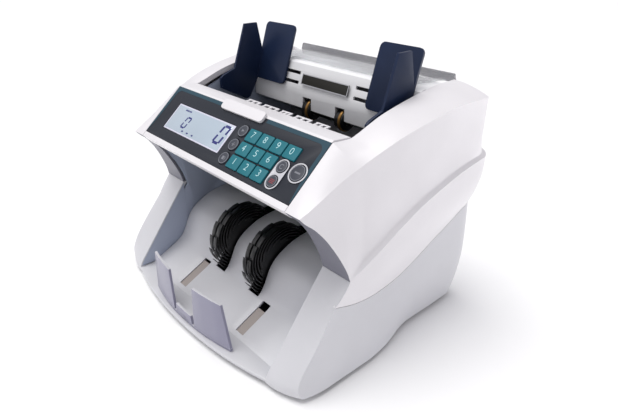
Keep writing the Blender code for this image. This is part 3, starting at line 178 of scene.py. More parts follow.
LOOKS = {
    "white_shell": plastic("white_shell", (0.925, 0.915, 0.925), 0.34, coat=0.12),
    "grey_shell": plastic("grey_shell", (0.835, 0.835, 0.85), 0.36, coat=0.1),
    "hopper_sheet": plastic("hopper_sheet", (0.975, 0.975, 0.98), 0.38),
    "dark_label": plastic("dark_label", (0.19, 0.185, 0.17), 0.6, specular=0.25),
    "lilac_fence": plastic("lilac_fence", (0.56, 0.555, 0.635), 0.3, coat=0.2),
    "bare_steel": plastic("bare_steel", (0.70, 0.71, 0.73), 0.34, metallic=1.0, streak=(1, 1, 14),
                          grain=240.0),
    # Darker grey for the brow's front-down faces and the underside of the cover's nose: painted shade on the
    # same white plastic.
    "painted_shade_grey": plastic("painted_shade_grey", (0.47, 0.47, 0.515), 0.42),
    "inner_wall": plastic("inner_wall", (0.68, 0.715, 0.79), 0.32, coat=0.2),
    "foot_rubber": plastic("foot_rubber", (0.11, 0.11, 0.115), 0.8, bump=0.3),
    "drum_rubber": plastic("drum_rubber", (0.13, 0.13, 0.13), 0.75, bump=0.35, grain=600.0),
    "clear_sheet": plastic("clear_sheet", (0.93, 0.94, 0.95), 0.06, transmission=0.85, alpha=0.55, bump=0.02),
    "smoky_plastic": plastic("smoky_plastic", (0.55, 0.55, 0.57), 0.12, transmission=0.5, alpha=0.8,
                             bump=0.03),
    "black_plastic": plastic("black_plastic", (0.055, 0.055, 0.06), 0.3, coat=0.15),
    "brass_roller": plastic("brass_roller", (0.62, 0.47, 0.27), 0.38, metallic=0.85, streak=(1, 9, 9)),
    "green_board": plastic("green_board", (0.10, 0.38, 0.21), 0.42, variation=0.15),
    "slate_panel": plastic("slate_panel", (0.15, 0.165, 0.20), 0.5, variation=0.05, specular=0.3),
    "teal_key": plastic("teal_key", (0.07, 0.44, 0.49), 0.5, variation=0.05, bump=0.12, specular=0.4),
    "dark_button": plastic("dark_button", (0.23, 0.245, 0.285), 0.46, bump=0.1),
    "silver_trim": plastic("silver_trim", (0.80, 0.80, 0.82), 0.3, coat=0.3),
    "screen_bezel": plastic("screen_bezel", (0.86, 0.855, 0.92), 0.34),
    "screen_face": plastic("screen_face", (0.715, 0.77, 0.82), 0.16, coat=0.6, bump=0.01),
    "navy_guide": plastic("navy_guide", (0.115, 0.165, 0.275), 0.36, variation=0.2, bump=0.02, specular=0.2),
    "border_blue": plastic("border_blue", (0.16, 0.28, 0.335), 0.5, specular=0.3),
    "digit_pale": plastic("digit_pale", (0.78, 0.93, 0.94), 0.5),
    "digit_navy": plastic("digit_navy", (0.16, 0.18, 0.46), 0.4),
    "mark_grey": plastic("mark_grey", (0.50, 0.51, 0.54), 0.4),
    "mark_red": plastic("mark_red", (0.62, 0.22, 0.24), 0.4),
    "slot_beige": plastic("slot_beige", (0.66, 0.62, 0.60), 0.5),
}


# ---- shape helpers ----------------------------------------------------------------------------------
def curve(points, at):
    """Smooth value at a position along (position, value) points, held level past both ends."""
    xs = np.array([p[0] for p in points], dtype=float)
    ys = np.array([p[1] for p in points], dtype=float)
    at = min(max(at, xs[0]), xs[-1])
    i = min(int(np.searchsorted(xs, at, side="right")) - 1, len(xs) - 2)
    steps = np.diff(xs)
    slopes = np.diff(ys) / steps
    tangents = np.empty(len(xs))
    tangents[0] = slopes[0]
    tangents[-1] = slopes[-1]
    for k in range(1, len(xs) - 1):
        before, after = slopes[k - 1], slopes[k]
        tangents[k] = 0.0 if before * after <= 0 else 2 * before * after / (before + after)
    t = (at - xs[i]) / steps[i]
    low = (1 + 2 * t) * (1 - t) ** 2 * ys[i] + t * t * (3 - 2 * t) * ys[i + 1]
    return float(low + steps[i] * (t * (1 - t) ** 2 * tangents[i] - t * t * (1 - t) * tangents[i + 1]))


def finish_mesh(obj, bevel=0.0, segments=3, angle=30.0, smooth=32.0, harden=False):
    """Round an object's sharp edges and shade it smoothly."""
    if bevel:
        mod = obj.modifiers.new("edges", "BEVEL")
        mod.width = bevel * MM
        mod.segments = segments
        mod.limit_method = "ANGLE"
        mod.angle_limit = math.radians(angle)
        mod.use_clamp_overlap = True
        mod.harden_normals = harden
    obj.data.shade_smooth()
    obj.data.set_sharp_from_angle(angle=math.radians(smooth))
    if bevel:
        for edge in obj.data.edges:
            edge.use_edge_sharp = False
    return obj


def piece(name, bm, look, body, replaces=()):
    """Turn a bmesh in millimetres into a piece that rides on a body."""
    for vert in bm.verts:
        vert.co = vert.co * MM
    mesh = bpy.data.meshes.new(name)
    bm.to_mesh(mesh)
    bm.free()
    mesh.materials.append(LOOKS[look])
    obj = bpy.data.objects.new(name, mesh)
    bpy.context.scene.collection.objects.link(obj)
    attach(obj, body)
    if replaces:
        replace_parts(obj, *replaces)
    return obj


def refined(node, bevel, segments=3, look=None, angle=30.0):
    """A CAD node's own shape with its flat faces joined and its edges rounded."""
    bm = bmesh.new()
    bm.from_mesh(frame["nodes"][node].data)
    bm.transform(frame["nodes"][node].matrix_world)
    bmesh.ops.remove_doubles(bm, verts=bm.verts, dist=1e-6)
    bmesh.ops.dissolve_limit(bm, angle_limit=math.radians(0.6), verts=bm.verts, edges=bm.edges)
    for layer in list(bm.loops.layers.float_vector):
        bm.loops.layers.float_vector.remove(layer)
    bmesh.ops.scale(bm, vec=(1 / MM,) * 3, verts=bm.verts)
    obj = piece(f"{node}_finished", bm, look or NODE_SLOT[node], NODE_BODY[node], [node])
    return finish_mesh(obj, bevel, segments, angle, harden=True)


def paint_edge_highlight(obj):
    """Paint the upward faces of a tinted plate in the pale trim colour, as a painted highlight along its top
    edges.
    """
    obj.data.materials.append(LOOKS["silver_trim"])
    for face in obj.data.polygons:
        if face.normal.z > HIGHLIGHT_EDGE_UP:
            face.material_index = 1


def add_loop_solid(bm, lower, upper):
    """A solid between two matching loops of points."""
    a = [bm.verts.new(p) for p in lower]
    b = [bm.verts.new(p) for p in upper]
    faces = [bm.faces.new(a), bm.faces.new(list(reversed(b)))]
    for i in range(len(a)):
        j = (i + 1) % len(a)
        faces.append(bm.faces.new((a[i], b[i], b[j], a[j])))
    bmesh.ops.recalc_face_normals(bm, faces=faces)


def add_turned(bm, rings):
    """A closed solid through rings of points, capped at both ends."""
    verts = [[bm.verts.new(p) for p in ring] for ring in rings]
    count = len(verts[0])
    for a, b in zip(verts, verts[1:]):
        for k in range(count):
            j = (k + 1) % count
            bm.faces.new((a[k], a[j], b[j], b[k]))
    bm.faces.new(verts[0])
    bm.faces.new(verts[-1])
    bmesh.ops.recalc_face_normals(bm, faces=bm.faces)


def circle(centre, radius, count):
    """Points spaced evenly round a circle."""
    return [(centre[0] + radius * math.cos(math.tau * k / count),
             centre[1] + radius * math.sin(math.tau * k / count)) for k in range(count)]


def rectangle(x0, x1, s0, s1):
    """Corners of an upright rectangle, counter-clockwise."""
    return [(x0, s0), (x1, s0), (x1, s1), (x0, s1)]


def add_box(bm, lo, hi):
    """An upright box between two corners."""
    corners = rectangle(lo[0], hi[0], lo[1], hi[1])
    add_loop_solid(bm, [(x, y, lo[2]) for x, y in corners], [(x, y, hi[2]) for x, y in corners])


def panel_point(x, s, n=0.0):
    """A point on the sloping panel: x across, s up the slope, n out of the surface."""
    return (x, PANEL_FOOT[0] + s * math.cos(PANEL_TILT) - n * math.sin(PANEL_TILT),
            PANEL_FOOT[1] + s * math.sin(PANEL_TILT) + n * math.cos(PANEL_TILT))


def add_panel_prism(bm, outline, n0, n1):
    """An outline on the panel, raised from one height to another."""
    add_loop_solid(bm, [panel_point(x, s, n0) for x, s in outline],
                   [panel_point(x, s, n1) for x, s in outline])


def arc(cx, cs, radius, start, stop, count=24):
    """Points along an arc, angles in degrees."""
    angles = [math.radians(start + (stop - start) * k / count) for k in range(count + 1)]
    return [(cx + radius * math.cos(a), cs + radius * math.sin(a)) for a in angles]


def add_stroke(bm, points, width, n0, n1):
    """A flat ribbon along panel points."""
    left, right = [], []
    for k, p in enumerate(points):
        a, b = Vector(points[max(0, k - 1)]), Vector(points[min(len(points) - 1, k + 1)])
        side = (b - a).normalized().orthogonal() * width / 2
        left.append(tuple(Vector(p) + side))
        right.append(tuple(Vector(p) - side))
    add_panel_prism(bm, left + list(reversed(right)), n0, n1)


# ---- outer shells, finely divided -------------------------------------------------------------------
def spread(values, steps):
    """Each gap between neighbouring values cut into equal steps."""
    out = []
    for a, b in zip(values, values[1:]):
        out += [a + (b - a) * k / steps for k in range(steps)]
    return out + [values[-1]]


FRONT_YS = spread([-79.5, -75.8, -70, -64, -58.5, -54, -50, -47.2], 3)
SIDE_YS = spread([-45.7, -38, -30, -22, -13, -3, 8, 20, 33, 46, 60, 73, 86], 4)
CORNER_ANGLES = [7.5 * k for k in range(1, 13)]
REAR_XS = [95, 91.5, 88, 70, 45, 22, 0]
STATIONS = ([("side", y) for y in FRONT_YS + SIDE_YS] + [("corner", a) for a in CORNER_ANGLES]
            + [("rear", x) for x in REAR_XS])
FACE_HOLLOW = [(0.0, 0.0), (0.04, 3.3), (0.14, 3.6), (0.6, 1.9), (1.0, 0.0)]
HOLLOW_RUN = 14.0
FACE_SHARES = [0.0, 0.01, 0.02, 0.03, 0.042, 0.06, 0.1, 0.16, 0.25, 0.36, 0.48, 0.6, 0.72, 0.84, 0.93]
BAND_UNDERCUT = [(0.0, 1.0), (0.35, 0.35), (0.7, 0.03), (1.0, 0.0)]
BAND_SHARES = [0.0, 0.08, 0.17, 0.26, 0.35, 0.46, 0.58, 0.7, 0.85, 0.96]
RAIL_CROWN = [(0.0, 0.0), (0.3, 1.1), (0.62, 1.3), (1.0, 0.0)]
RAIL_SHARES = [0.06, 0.14, 0.24, 0.34, 0.46, 0.58, 0.7, 0.82, 0.92]
BASE_SHARES = spread([0.0, 0.07, 0.16, 0.28, 0.42, 0.6, 0.8, 1.0], 3)
CHEEK_SHARES = [0.02, 0.05, 0.12, 0.2, 0.3, 0.45, 0.6, 0.8, 1.0]
CHEEK_RETURN = 4.0
LIP_HEIGHT = 3.0
LIP_BOW = 12.0
LIP_REAR_Y = -89.0
LIP_CORNER = [(108, -99.4), (118, -95.5), (125, -89.5), (129, -81)]
SIDE_BULGE = 1.2
CORNER_SETBACK = 10.0
REAR_WINDOW = (-66.0, 66.0, 18.0, 84.0)
COLLAR = 3.0
COLLAR_FACE_Y = 106.8


def path_point(station, offset, z):
    """Point at an outward offset from the nominal plan outline and a height."""
    kind, value = station
    if kind == "side":
        return Vector((PATH_SIDE_X + offset, value, z))
    if kind == "rear":
        return Vector((value, PATH_REAR_Y + offset, z))
    a = math.radians(value)
    return Vector((PATH_SIDE_X - PATH_CORNER_R + (PATH_CORNER_R + offset) * math.cos(a),
                   PATH_REAR_Y - PATH_CORNER_R + (PATH_CORNER_R + offset) * math.sin(a), z))


def along(points, station, rear_value):
    """A side curve's value, which turns into the rear value round the corner."""
    kind, value = station
    share = {"side": 0.0, "corner": value / 90.0, "rear": 1.0}[kind]
    y = value if kind == "side" else points[-1][0]
    return curve(points, y) * (1 - share) + rear_value * share


def ridge(station):
    """Outward offset and height of the side's ridge."""
    return along(RIDGE_X, station, PATH_SIDE_X + 7) - PATH_SIDE_X, along(RIDGE_Z, station, REAR_RIDGE_Z)


def is_front(station):
    """Whether a station lies ahead of the notch, where the brow hangs free."""
    return station[0] == "side" and station[1] < NOTCH[0]


def panel_height(y):
    """Height of the sloping panel at a depth."""
    return PANEL_FOOT[1] + (y - PANEL_FOOT[0]) * math.tan(PANEL_TILT)


def rim_point(station):
    """Inner edge of the rail: along the keypad, then round the hopper's opening."""
    kind, value = station
    if kind == "rear":
        return Vector((value, OPENING_REAR_Y, curve(REAR_RIM, value)))
    if kind == "corner":
        return Vector((INNER_X, OPENING_REAR_Y, REAR_RIM[-1][1]))
    if value < RIM_Z[0][0]:
        return Vector((INNER_X, value, panel_height(value)))
    return Vector((INNER_X, value, curve(RIM_Z, value)))


def side_section(station):
    """Upper shell section from its lowest edge up to the rim."""
    top_offset = along(TOP_EDGE_X, station, PATH_SIDE_X + 2.5) - PATH_SIDE_X
    top_z = along(TOP_EDGE_Z, station, REAR_TOP_Z)
    low_offset, low_z = ridge(station)
    hollow = 1.0
    if is_front(station):
        low_offset, low_z = curve(BROW_X, station[1]) - PATH_SIDE_X, curve(BROW_Z, station[1])
        hollow = 0.0
    elif station[0] == "side":
        hollow = min(1.0, (station[1] - NOTCH[0]) / HOLLOW_RUN)
    section = []
    for share in FACE_SHARES:
        offset = low_offset + (top_offset - low_offset) * share - curve(FACE_HOLLOW, share) * hollow
        section.append(path_point(station, offset, low_z + (top_z - low_z) * share))
    top = path_point(station, top_offset, top_z)
    rim = rim_point(station)
    section.append(top)
    for share in RAIL_SHARES:
        mid = top.lerp(rim, share)
        mid.z += curve(RAIL_CROWN, share) * min(1.0, max(0.0, (top.y + 79.5) / 25))
        section.append(mid)
    section.append(rim)
    return section


def cheek_y(z):
    """The cheek's sloping front, which curls upright near the table."""
    below = max(0.0, CHEEK_CURL_Z - z)
    top = max(z, CHEEK_CURL_Z)
    curl = below / CHEEK_SLOPE * (1 - below / (2 * (CHEEK_CURL_Z - FOOT_HEIGHT)))
    return CHEEK_FOOT[0] + (top - CHEEK_FOOT[1]) / CHEEK_SLOPE - curl


def band_section(station):
    """The undercut band below the ridge, from the crease up."""
    if is_front(station):
        return [None] * len(BAND_SHARES)
    section = []
    for share in BAND_SHARES:
        here = station
        if station[0] == "side":
            front_y = cheek_y(CREASE_Z[0][1] + (NOTCH[1] - CREASE_Z[0][1]) * share)
            run = (station[1] - SIDE_YS[0]) / (SIDE_YS[-1] - SIDE_YS[0])
            here = ("side", front_y + run * (SIDE_YS[-1] - front_y))
        offset, ridge_z = ridge(here)
        crease_z = along(CREASE_Z, here, REAR_CREASE_Z)
        section.append(path_point(here, offset * (1 - curve(BAND_UNDERCUT, share)),
                                  crease_z + (ridge_z - crease_z) * share))
    return section


def mirror_columns(columns):
    """The columns of one side, then their mirror images in reverse order."""
    flipped = [[None if p is None else Vector((-p.x, p.y, p.z)) for p in column]
               for column in reversed(columns[:-1])]
    return columns + flipped


def grid_faces(bm, columns):
    """Faces between neighbouring columns, wherever all four corners exist."""
    for a, b in zip(columns, columns[1:]):
        for i in range(len(a) - 1):
            quad = (a[i], a[i + 1], b[i + 1], b[i])
            if all(quad):
                bm.faces.new(quad)


def make_verts(bm, columns):
    """Columns of points as columns of vertices."""
    return [[None if p is None else bm.verts.new(p) for p in col] for col in columns]


def thicken(obj, thickness):
    """Give a surface a wall on its inner side."""
    mod = obj.modifiers.new("wall", "SOLIDIFY")
    mod.thickness = thickness * MM
    mod.offset = -1.0


def upper_shell():
    """Upper housing with its rails and undercut bands, and painted shade in darker grey on the brow faces."""
    bm = bmesh.new()
    columns = []
    for index, station in enumerate(STATIONS):
        section = side_section(station)
        lip = None if index == 0 else section[-1] - Vector((0, 0, min(5.0, 1.0 + index)))
        columns.append(band_section(station) + section + [lip])
    columns = mirror_columns(columns)
    grid_faces(bm, make_verts(bm, columns))
    low = len(BAND_SHARES)
    top = low + len(FACE_SHARES)
    # The brow's front-down faces take the second material, the darker grey that paints in their shade.
    for side in (columns, list(reversed(columns))):
        rows = [[side[0][low]] + side[0][top + 1:-1]]
        for column in side[1:len(FRONT_YS) + 1]:
            outer = column[low]
            rim = Vector((math.copysign(INNER_X, outer.x), outer.y, outer.z))
            rows.append([outer] + [outer.lerp(rim, share) for share in RAIL_SHARES] + [rim])
        before = len(bm.faces)
        grid_faces(bm, make_verts(bm, rows))
        bm.faces.ensure_lookup_table()
        for face in bm.faces[before:]:
            face.material_index = 1
    bmesh.ops.remove_doubles(bm, verts=bm.verts, dist=0.02)
    bmesh.ops.recalc_face_normals(bm, faces=bm.faces)
    obj = piece("upper_shell_finished", bm, "white_shell", "frame", ["upper_shell"])
    # Second material: painted shade for the brow faces.
    obj.data.materials.append(LOOKS["painted_shade_grey"])
    thicken(obj, SHELL_WALL)
    return finish_mesh(obj, 0.5, 3, 26, harden=True)


def corner_setback(z):
    """How far the cheek's outer edge rounds back near the table."""
    return CORNER_SETBACK * max(0.0, 1 - (z - FOOT_HEIGHT) / 26) ** 2


def base_station(station, share):
    """Where a station lies at a share of the base's height, with the front following the cheek's slope."""
    if station[0] != "side":
        return station
    front_z = FOOT_HEIGHT + (CREASE_Z[0][1] - FOOT_HEIGHT) * share
    front_y = cheek_y(front_z) + corner_setback(front_z)
    run = (station[1] - SIDE_YS[0]) / (SIDE_YS[-1] - SIDE_YS[0])
    return ("side", front_y + run * (SIDE_YS[-1] - front_y))


def base_section(station):
    """Lower shell section from the table edge up to the crease."""
    section = []
    for share in BASE_SHARES:
        here = base_station(station, share)
        top = along(CREASE_Z, here, REAR_CREASE_Z) - GAP
        z = FOOT_HEIGHT + (top - FOOT_HEIGHT) * share
        reach = along(FOOT_EDGE_X, here, PATH_SIDE_X - 8) - PATH_SIDE_X
        flare = reach * max(0.0, 1 - (z - FOOT_HEIGHT) / 55) ** 2
        bulge = SIDE_BULGE * math.sin(math.pi * share)
        rounding = 0.0
        if here[0] == "side" and here[1] < -70:
            rounding = 9.0 * ((-70 - here[1]) / 34) ** 2
        section.append(path_point(here, flare + bulge - rounding, z))
    return section


def lip_front(x):
    """Depth of the bowed front edge at a width."""
    return CHEEK_FOOT[0] - 13 + LIP_BOW * (abs(x) / 97) ** 2.2


def base_shell():
    """Lower housing with its cheeks, open at the rear window."""
    bm = bmesh.new()
    columns = mirror_columns([base_section(station) for station in STATIONS if not is_front(station)])
    verts = make_verts(bm, columns)
    for a, b in zip(verts, verts[1:]):
        for i in range(len(a) - 1):
            bm.faces.new((a[i], a[i + 1], b[i + 1], b[i]))
    notch = ("side", NOTCH[0])
    band = band_section(notch) + [Vector((ridge(notch)[0] + PATH_SIDE_X, 0, NOTCH[1] - 0.3))]
    for side in (columns[0], columns[-1]):
        sign = math.copysign(1, side[0].x)
        edge = side + [Vector((sign * (abs(p.x) - 0.15), cheek_y(p.z), p.z)) for p in band]
        inner = [Vector((sign * INNER_X, cheek_y(p.z), p.z)) for p in edge]
        rows = [edge]
        for share in CHEEK_SHARES:
            rows.append([Vector((p.x + (q.x - p.x) * share, q.y + (p.y - q.y) * (1 - share) ** 2, p.z))
                         for p, q in zip(edge, inner)])
        rows.append([q + Vector((0, CHEEK_RETURN, 0)) for q in inner])
        grid_faces(bm, make_verts(bm, rows))
    bmesh.ops.remove_doubles(bm, verts=bm.verts, dist=0.02)
    bmesh.ops.recalc_face_normals(bm, faces=bm.faces)
    obj = piece("base_shell_finished", bm, "grey_shell", "frame", ["base_shell"])
    thicken(obj, SHELL_WALL)
    rear_window(obj)
    finish_mesh(obj, 0.5, 3, 22, harden=True)


def rear_window(shell):
    """Cut the rear window through the shell and put a raised collar round it."""
    x0, x1, z0, z1 = REAR_WINDOW
    cutter = bmesh.new()
    add_box(cutter, (x0, 90, z0), (x1, 120, z1))
    cut = piece("window_cutter", cutter, "grey_shell", "frame")
    cut.hide_render = True
    cut.display_type = "WIRE"
    collar = bmesh.new()
    add_box(collar, (x0 - COLLAR, 99, z0 - COLLAR), (x1 + COLLAR, COLLAR_FACE_Y, z1 + COLLAR))
    ring = piece("rear_collar", collar, "grey_shell", "frame")
    for target in (shell, ring):
        hole = target.modifiers.new("window", "BOOLEAN")
        hole.operation = "DIFFERENCE"
        hole.solver = "EXACT"
        hole.object = cut
    finish_mesh(ring, 0.5, 3, harden=True)


def front_lip():
    """Low bowed lip across the front, rounded at its corners."""
    bm = bmesh.new()
    outline = [(x, lip_front(x)) for x in (-97 + 9.7 * k for k in range(21))]
    rear = [(127, -76), (103, -76), (103, LIP_REAR_Y)]
    outline = outline + LIP_CORNER + rear + [(-x, y) for x, y in reversed(LIP_CORNER + rear)]
    add_loop_solid(bm, [(x, y, FOOT_HEIGHT) for x, y in outline],
                   [(x, y, FOOT_HEIGHT + LIP_HEIGHT) for x, y in outline])
    finish_mesh(piece("front_lip", bm, "grey_shell", "frame"), 1.1, 4, 40)


# ---- wheels with curved fingers ---------------------------------------------------------------------
def finger(axis, angle, sweep, root, tip, thick):
    """Outline of one long curved finger that trails back round its wheel."""
    outer, inner = [], []
    steps = 14
    for k in range(steps + 1):
        share = k / steps
        radius = root + (tip - root) * (1 - (1 - share) ** 1.2)
        a = angle - sweep * share
        half = thick * (1 - 0.7 * share) / 2
        outer.append((axis[0] + (radius + half) * math.cos(a), axis[1] + (radius + half) * math.sin(a)))
        inner.append((axis[0] + (radius - half) * math.cos(a), axis[1] + (radius - half) * math.sin(a)))
    return outer + list(reversed(inner))


def stacking_wheels():
    """Two hubs, each with two rows of curved fingers."""
    axis = [c / MM for c in JOINTS["wheel_spin"]["pos_m"][1:]]
    for side in ("left", "right"):
        lo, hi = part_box(f"stacking_wheel_{side}")
        x0, x1 = lo[0] / MM, hi[0] / MM
        bm = bmesh.new()
        for k in range(FINGERS):
            angle = math.tau * k / FINGERS
            for a, b in ((x0, x0 + FINGER_BAND), (x1 - FINGER_BAND, x1)):
                line = finger(axis, angle, FINGER_SWEEP, WHEEL_CORE - 1.5, WHEEL_RADIUS - 0.4,
                              FINGER_THICK)
                add_loop_solid(bm, [(a, y, z) for y, z in line], [(b, y, z) for y, z in line])
        hub = circle(axis, WHEEL_CORE, 64)
        add_loop_solid(bm, [(x0 + 0.5, y, z) for y, z in hub], [(x1 - 0.5, y, z) for y, z in hub])
        obj = piece(f"stacking_wheel_{side}_finished", bm, "black_plastic", "wheels",
                    [f"stacking_wheel_{side}"])
        finish_mesh(obj, 0.18, 2, 35)


# ---- keypad printing --------------------------------------------------------------------------------
def add_border():
    """Blue border along the panel's top and sides, with rounded inner corners."""
    outer_x, inner_x, top, inner_top, radius, tail = 97.9, 94.6, 50.0, 46.6, 6.0, 1.5
    for sign, side in ((1, "right"), (-1, "left")):
        bm = bmesh.new()
        reach = 31.0 if sign > 0 else 28.0
        corner = arc(inner_x - radius, inner_top - radius, radius, 90, 0, 10)
        inner = [(reach, inner_top)] + corner
        inner += [(inner_x, inner_top - radius - 12), (inner_x + 0.9, 14), (outer_x - 0.5, tail)]
        outline = [(reach, top), (outer_x, top), (outer_x, tail)] + list(reversed(inner))
        add_panel_prism(bm, [(sign * x, s) for x, s in outline], 0.02, 0.12)
        piece(f"panel_border_{side}", bm, "border_blue", "cover")


def text_mesh(name, body_text, size, matrix, look, body, depth=0.06):
    """A raised generic number, as mesh."""
    data = bpy.data.curves.new(name, "FONT")
    data.body = body_text
    data.size = size * MM
    data.offset = -0.12 * MM
    data.extrude = depth * MM
    data.align_x = "CENTER"
    data.align_y = "CENTER"
    data.resolution_u = 4
    temp = bpy.data.objects.new(name + "_curve", data)
    bpy.context.scene.collection.objects.link(temp)
    bpy.context.view_layer.update()
    mesh = bpy.data.meshes.new_from_object(temp.evaluated_get(bpy.context.evaluated_depsgraph_get()))
    bpy.data.objects.remove(temp)
    mesh.transform(matrix)
    mesh.name = name
    mesh.materials.clear()
    mesh.materials.append(LOOKS[look])
    obj = bpy.data.objects.new(name, mesh)
    bpy.context.scene.collection.objects.link(obj)
    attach(obj, body)
    return obj


def on_panel(x, s, n):
    """Matrix that lays a flat thing on the panel, reading up the slope."""
    c, t = math.cos(PANEL_TILT), math.sin(PANEL_TILT)
    matrix = Matrix(((1, 0, 0, 0), (0, c, -t, 0), (0, t, c, 0), (0, 0, 0, 1)))
    matrix.translation = Vector(panel_point(x, s, n)) * MM
    return matrix


def panel_place(node):
    """Centre of a node in panel coordinates, its top height and its width."""
    obj = frame["nodes"][node]
    points = [obj.matrix_world @ v.co / MM for v in obj.data.vertices]
    c, t = math.cos(PANEL_TILT), math.sin(PANEL_TILT)
    local = [(p.x, (p.y - PANEL_FOOT[0]) * c + (p.z - PANEL_FOOT[1]) * t,
              -(p.y - PANEL_FOOT[0]) * t + (p.z - PANEL_FOOT[1]) * c) for p in points]
    low = [min(p[i] for p in local) for i in range(3)]
    high = [max(p[i] for p in local) for i in range(3)]
    return (low[0] + high[0]) / 2, (low[1] + high[1]) / 2, high[2], high[0] - low[0]


def keypad():
    """Keys with their digits, and round buttons with a ring and a simple mark."""
    for digit in "1234567890":
        node = f"key_{digit}"
        refined(node, 0.5, 3)
        x, s, top, _ = panel_place(node)
        text_mesh(f"digit_{digit}", digit, 7.8, on_panel(x - 0.3, s + 0.5, top + 0.03), "digit_pale",
                  f"b_{node}")
    for node in ("key_mode", "key_add", "key_print", "key_clear", "key_batch", "key_start"):
        refined(node, 0.55, 3)
        x, s, top, width = panel_place(node)
        radius = width / 2
        bm = bmesh.new()
        for a in range(2):
            start = 180 * a
            add_stroke(bm, arc(x, s, radius - 0.55, start, start + 180), 0.45, top - 0.02, top + 0.05)
        piece(f"{node}_ring", bm, "mark_grey", f"b_{node}")
        bm = bmesh.new()
        add_button_mark(bm, node, x, s, top)
        look = "mark_red" if node == "key_batch" else "mark_grey"
        piece(f"{node}_mark", bm, look, f"b_{node}")


def add_button_mark(bm, node, x, s, top):
    """The simple mark of one round button, centred on it."""
    high = top + MARK_RISE
    if node == "key_clear":
        add_stroke(bm, arc(x, s, 1.7, 45, 315), 0.6, top, high)
    elif node == "key_batch":
        for k in range(3):
            row = s - 1.2 + 1.2 * k
            add_stroke(bm, [(x - 2.2, row), (x + 2.2, row)], 0.5, top, high)
    elif node == "key_start":
        add_stroke(bm, [(x - 2.6, s), (x + 2.6, s)], 1.2, top, high)
    elif node == "key_mode":
        add_panel_prism(bm, [(x - 1.3, s - 1.2), (x + 1.7, s), (x - 1.3, s + 1.2)], top, high)
    elif node == "key_add":
        add_stroke(bm, [(x - 1.6, s), (x + 1.6, s)], 0.6, top, high)
        add_stroke(bm, [(x, s - 1.6), (x, s + 1.6)], 0.6, top, high)
    else:
        add_panel_prism(bm, rectangle(x - 1.8, x + 0.6, s - 1.4, s + 1.4), top, high)
        add_stroke(bm, [(x + 1.6, s - 1.4), (x + 1.6, s + 1.4)], 0.5, top, high)


def seven_segment_zero(bm, x, s, width, height, thick, slant):
    """The six lit bars of a display zero."""
    def place(u, v):
        """A point at a share of the figure's half width and half height."""
        return (x + u * width / 2 + v * slant, s + v * height / 2)

    gap = 0.09
    bars = [((-1, 1), (1, 1)), ((-1, -1), (1, -1)), ((-1, gap), (-1, 1)), ((-1, -1), (-1, -gap)),
            ((1, gap), (1, 1)), ((1, -1), (1, -gap))]
    for a, b in bars:
        p, q = Vector(place(*a)), Vector(place(*b))
        inset = (q - p).normalized() * thick * 0.22
        add_stroke(bm, [tuple(p + inset), tuple(q - inset)], thick, GLASS_TOP, GLASS_TOP + LIT_RISE)


def display():
    """Thin bezel, a face that runs under it, and the lit figures."""
    refined("screen_frame", 0.3, 2)
    lo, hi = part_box("screen_frame")
    x0, x1, s0, s1 = lo[0] / MM + 1.4, hi[0] / MM - 1.4, 11.2, 34.4
    bm = bmesh.new()
    add_panel_prism(bm, rectangle(x0, x1, s0, s1), -3.2, GLASS_TOP)
    finish_mesh(piece("screen_face", bm, "screen_face", "cover", ["screen_glass"]), 0.15, 2)
    bm = bmesh.new()
    seven_segment_zero(bm, -54.6, 21.6, 5.6, 10.0, 1.5, 0.9)
    seven_segment_zero(bm, -4.6, 24.6, 7.6, 15.6, 2.3, 1.2)
    for k in range(3):
        add_stroke(bm, [(-53.0 + 7.6 * k, 13.6), (-50.6 + 7.6 * k, 13.6)], 1.3, GLASS_TOP,
                   GLASS_TOP + LIT_RISE)
    for k in range(5):
        add_stroke(bm, [(-66.0 + 1.9 * k, 31.8), (-64.6 + 1.9 * k, 31.8)], 1.5, GLASS_TOP,
                   GLASS_TOP + LIT_RISE)
    piece("display_digits", bm, "digit_navy", "cover")


# ---- every other piece --------------------------------------------------------------------------------
FINISHES = (("front_cover", 0.7, 3), ("control_panel", 0.15, 2), ("pill_ring", 0.12, 2),
            ("start_ring", 0.12, 2), ("note_fence", 0.6, 3), ("hopper_plate", 0.4, 3),
            ("label_plate", 0.2, 2), ("feed_guide", 0.3, 2), ("throat_guide", 0.3, 2),
            ("note_tray", 0.25, 2), ("tray_rim", 0.6, 3), ("rear_panel", 0.4, 2),
            ("power_inlet", 0.4, 2), ("switch_body", 0.4, 2), ("power_switch", 0.5, 3),
            ("motor", 0.6, 2))
CHANGED_LOOKS = {"note_fence": "lilac_fence"}


def surroundings():
    """Pieces that keep their CAD shape and only get rounded edges."""
    for node, bevel, segments in FINISHES:
        refined(node, bevel, segments, CHANGED_LOOKS.get(node))
    # Painted highlight on the fence's upward faces.
    paint_edge_highlight(bpy.data.objects["note_fence_finished"])
    for side in ("left", "right"):
        refined(f"note_guide_{side}", 0.7, 3)
        refined(f"side_frame_{side}", 0.2, 2, look="inner_wall")
    for corner in ("front_left", "front_right", "rear_left", "rear_right"):
        refined(f"foot_{corner}", 0.7, 3)


def label_frame():
    """Thin pale border round the blank label."""
    low, high = [Vector((0, y, z)) for y, z in LABEL_RAKE]
    lean = (high - low).normalized()
    out = Vector((0, -lean.z, lean.y))
    base = low + out * LABEL_FACE
    half, rise, line = LABEL_HALF_WIDTH, LABEL_HEIGHT, LABEL_LINE
    bm = bmesh.new()
    for bar in ((-half, half, 0, line), (-half, half, rise - line, rise),
                (-half, line - half, 0, rise), (half - line, half, 0, rise)):
        corners = [base + Vector((x, 0, 0)) + lean * up for x, up in rectangle(*bar)]
        add_loop_solid(bm, corners, [p + out * 0.1 for p in corners])
    piece("label_border", bm, "silver_trim", "frame")


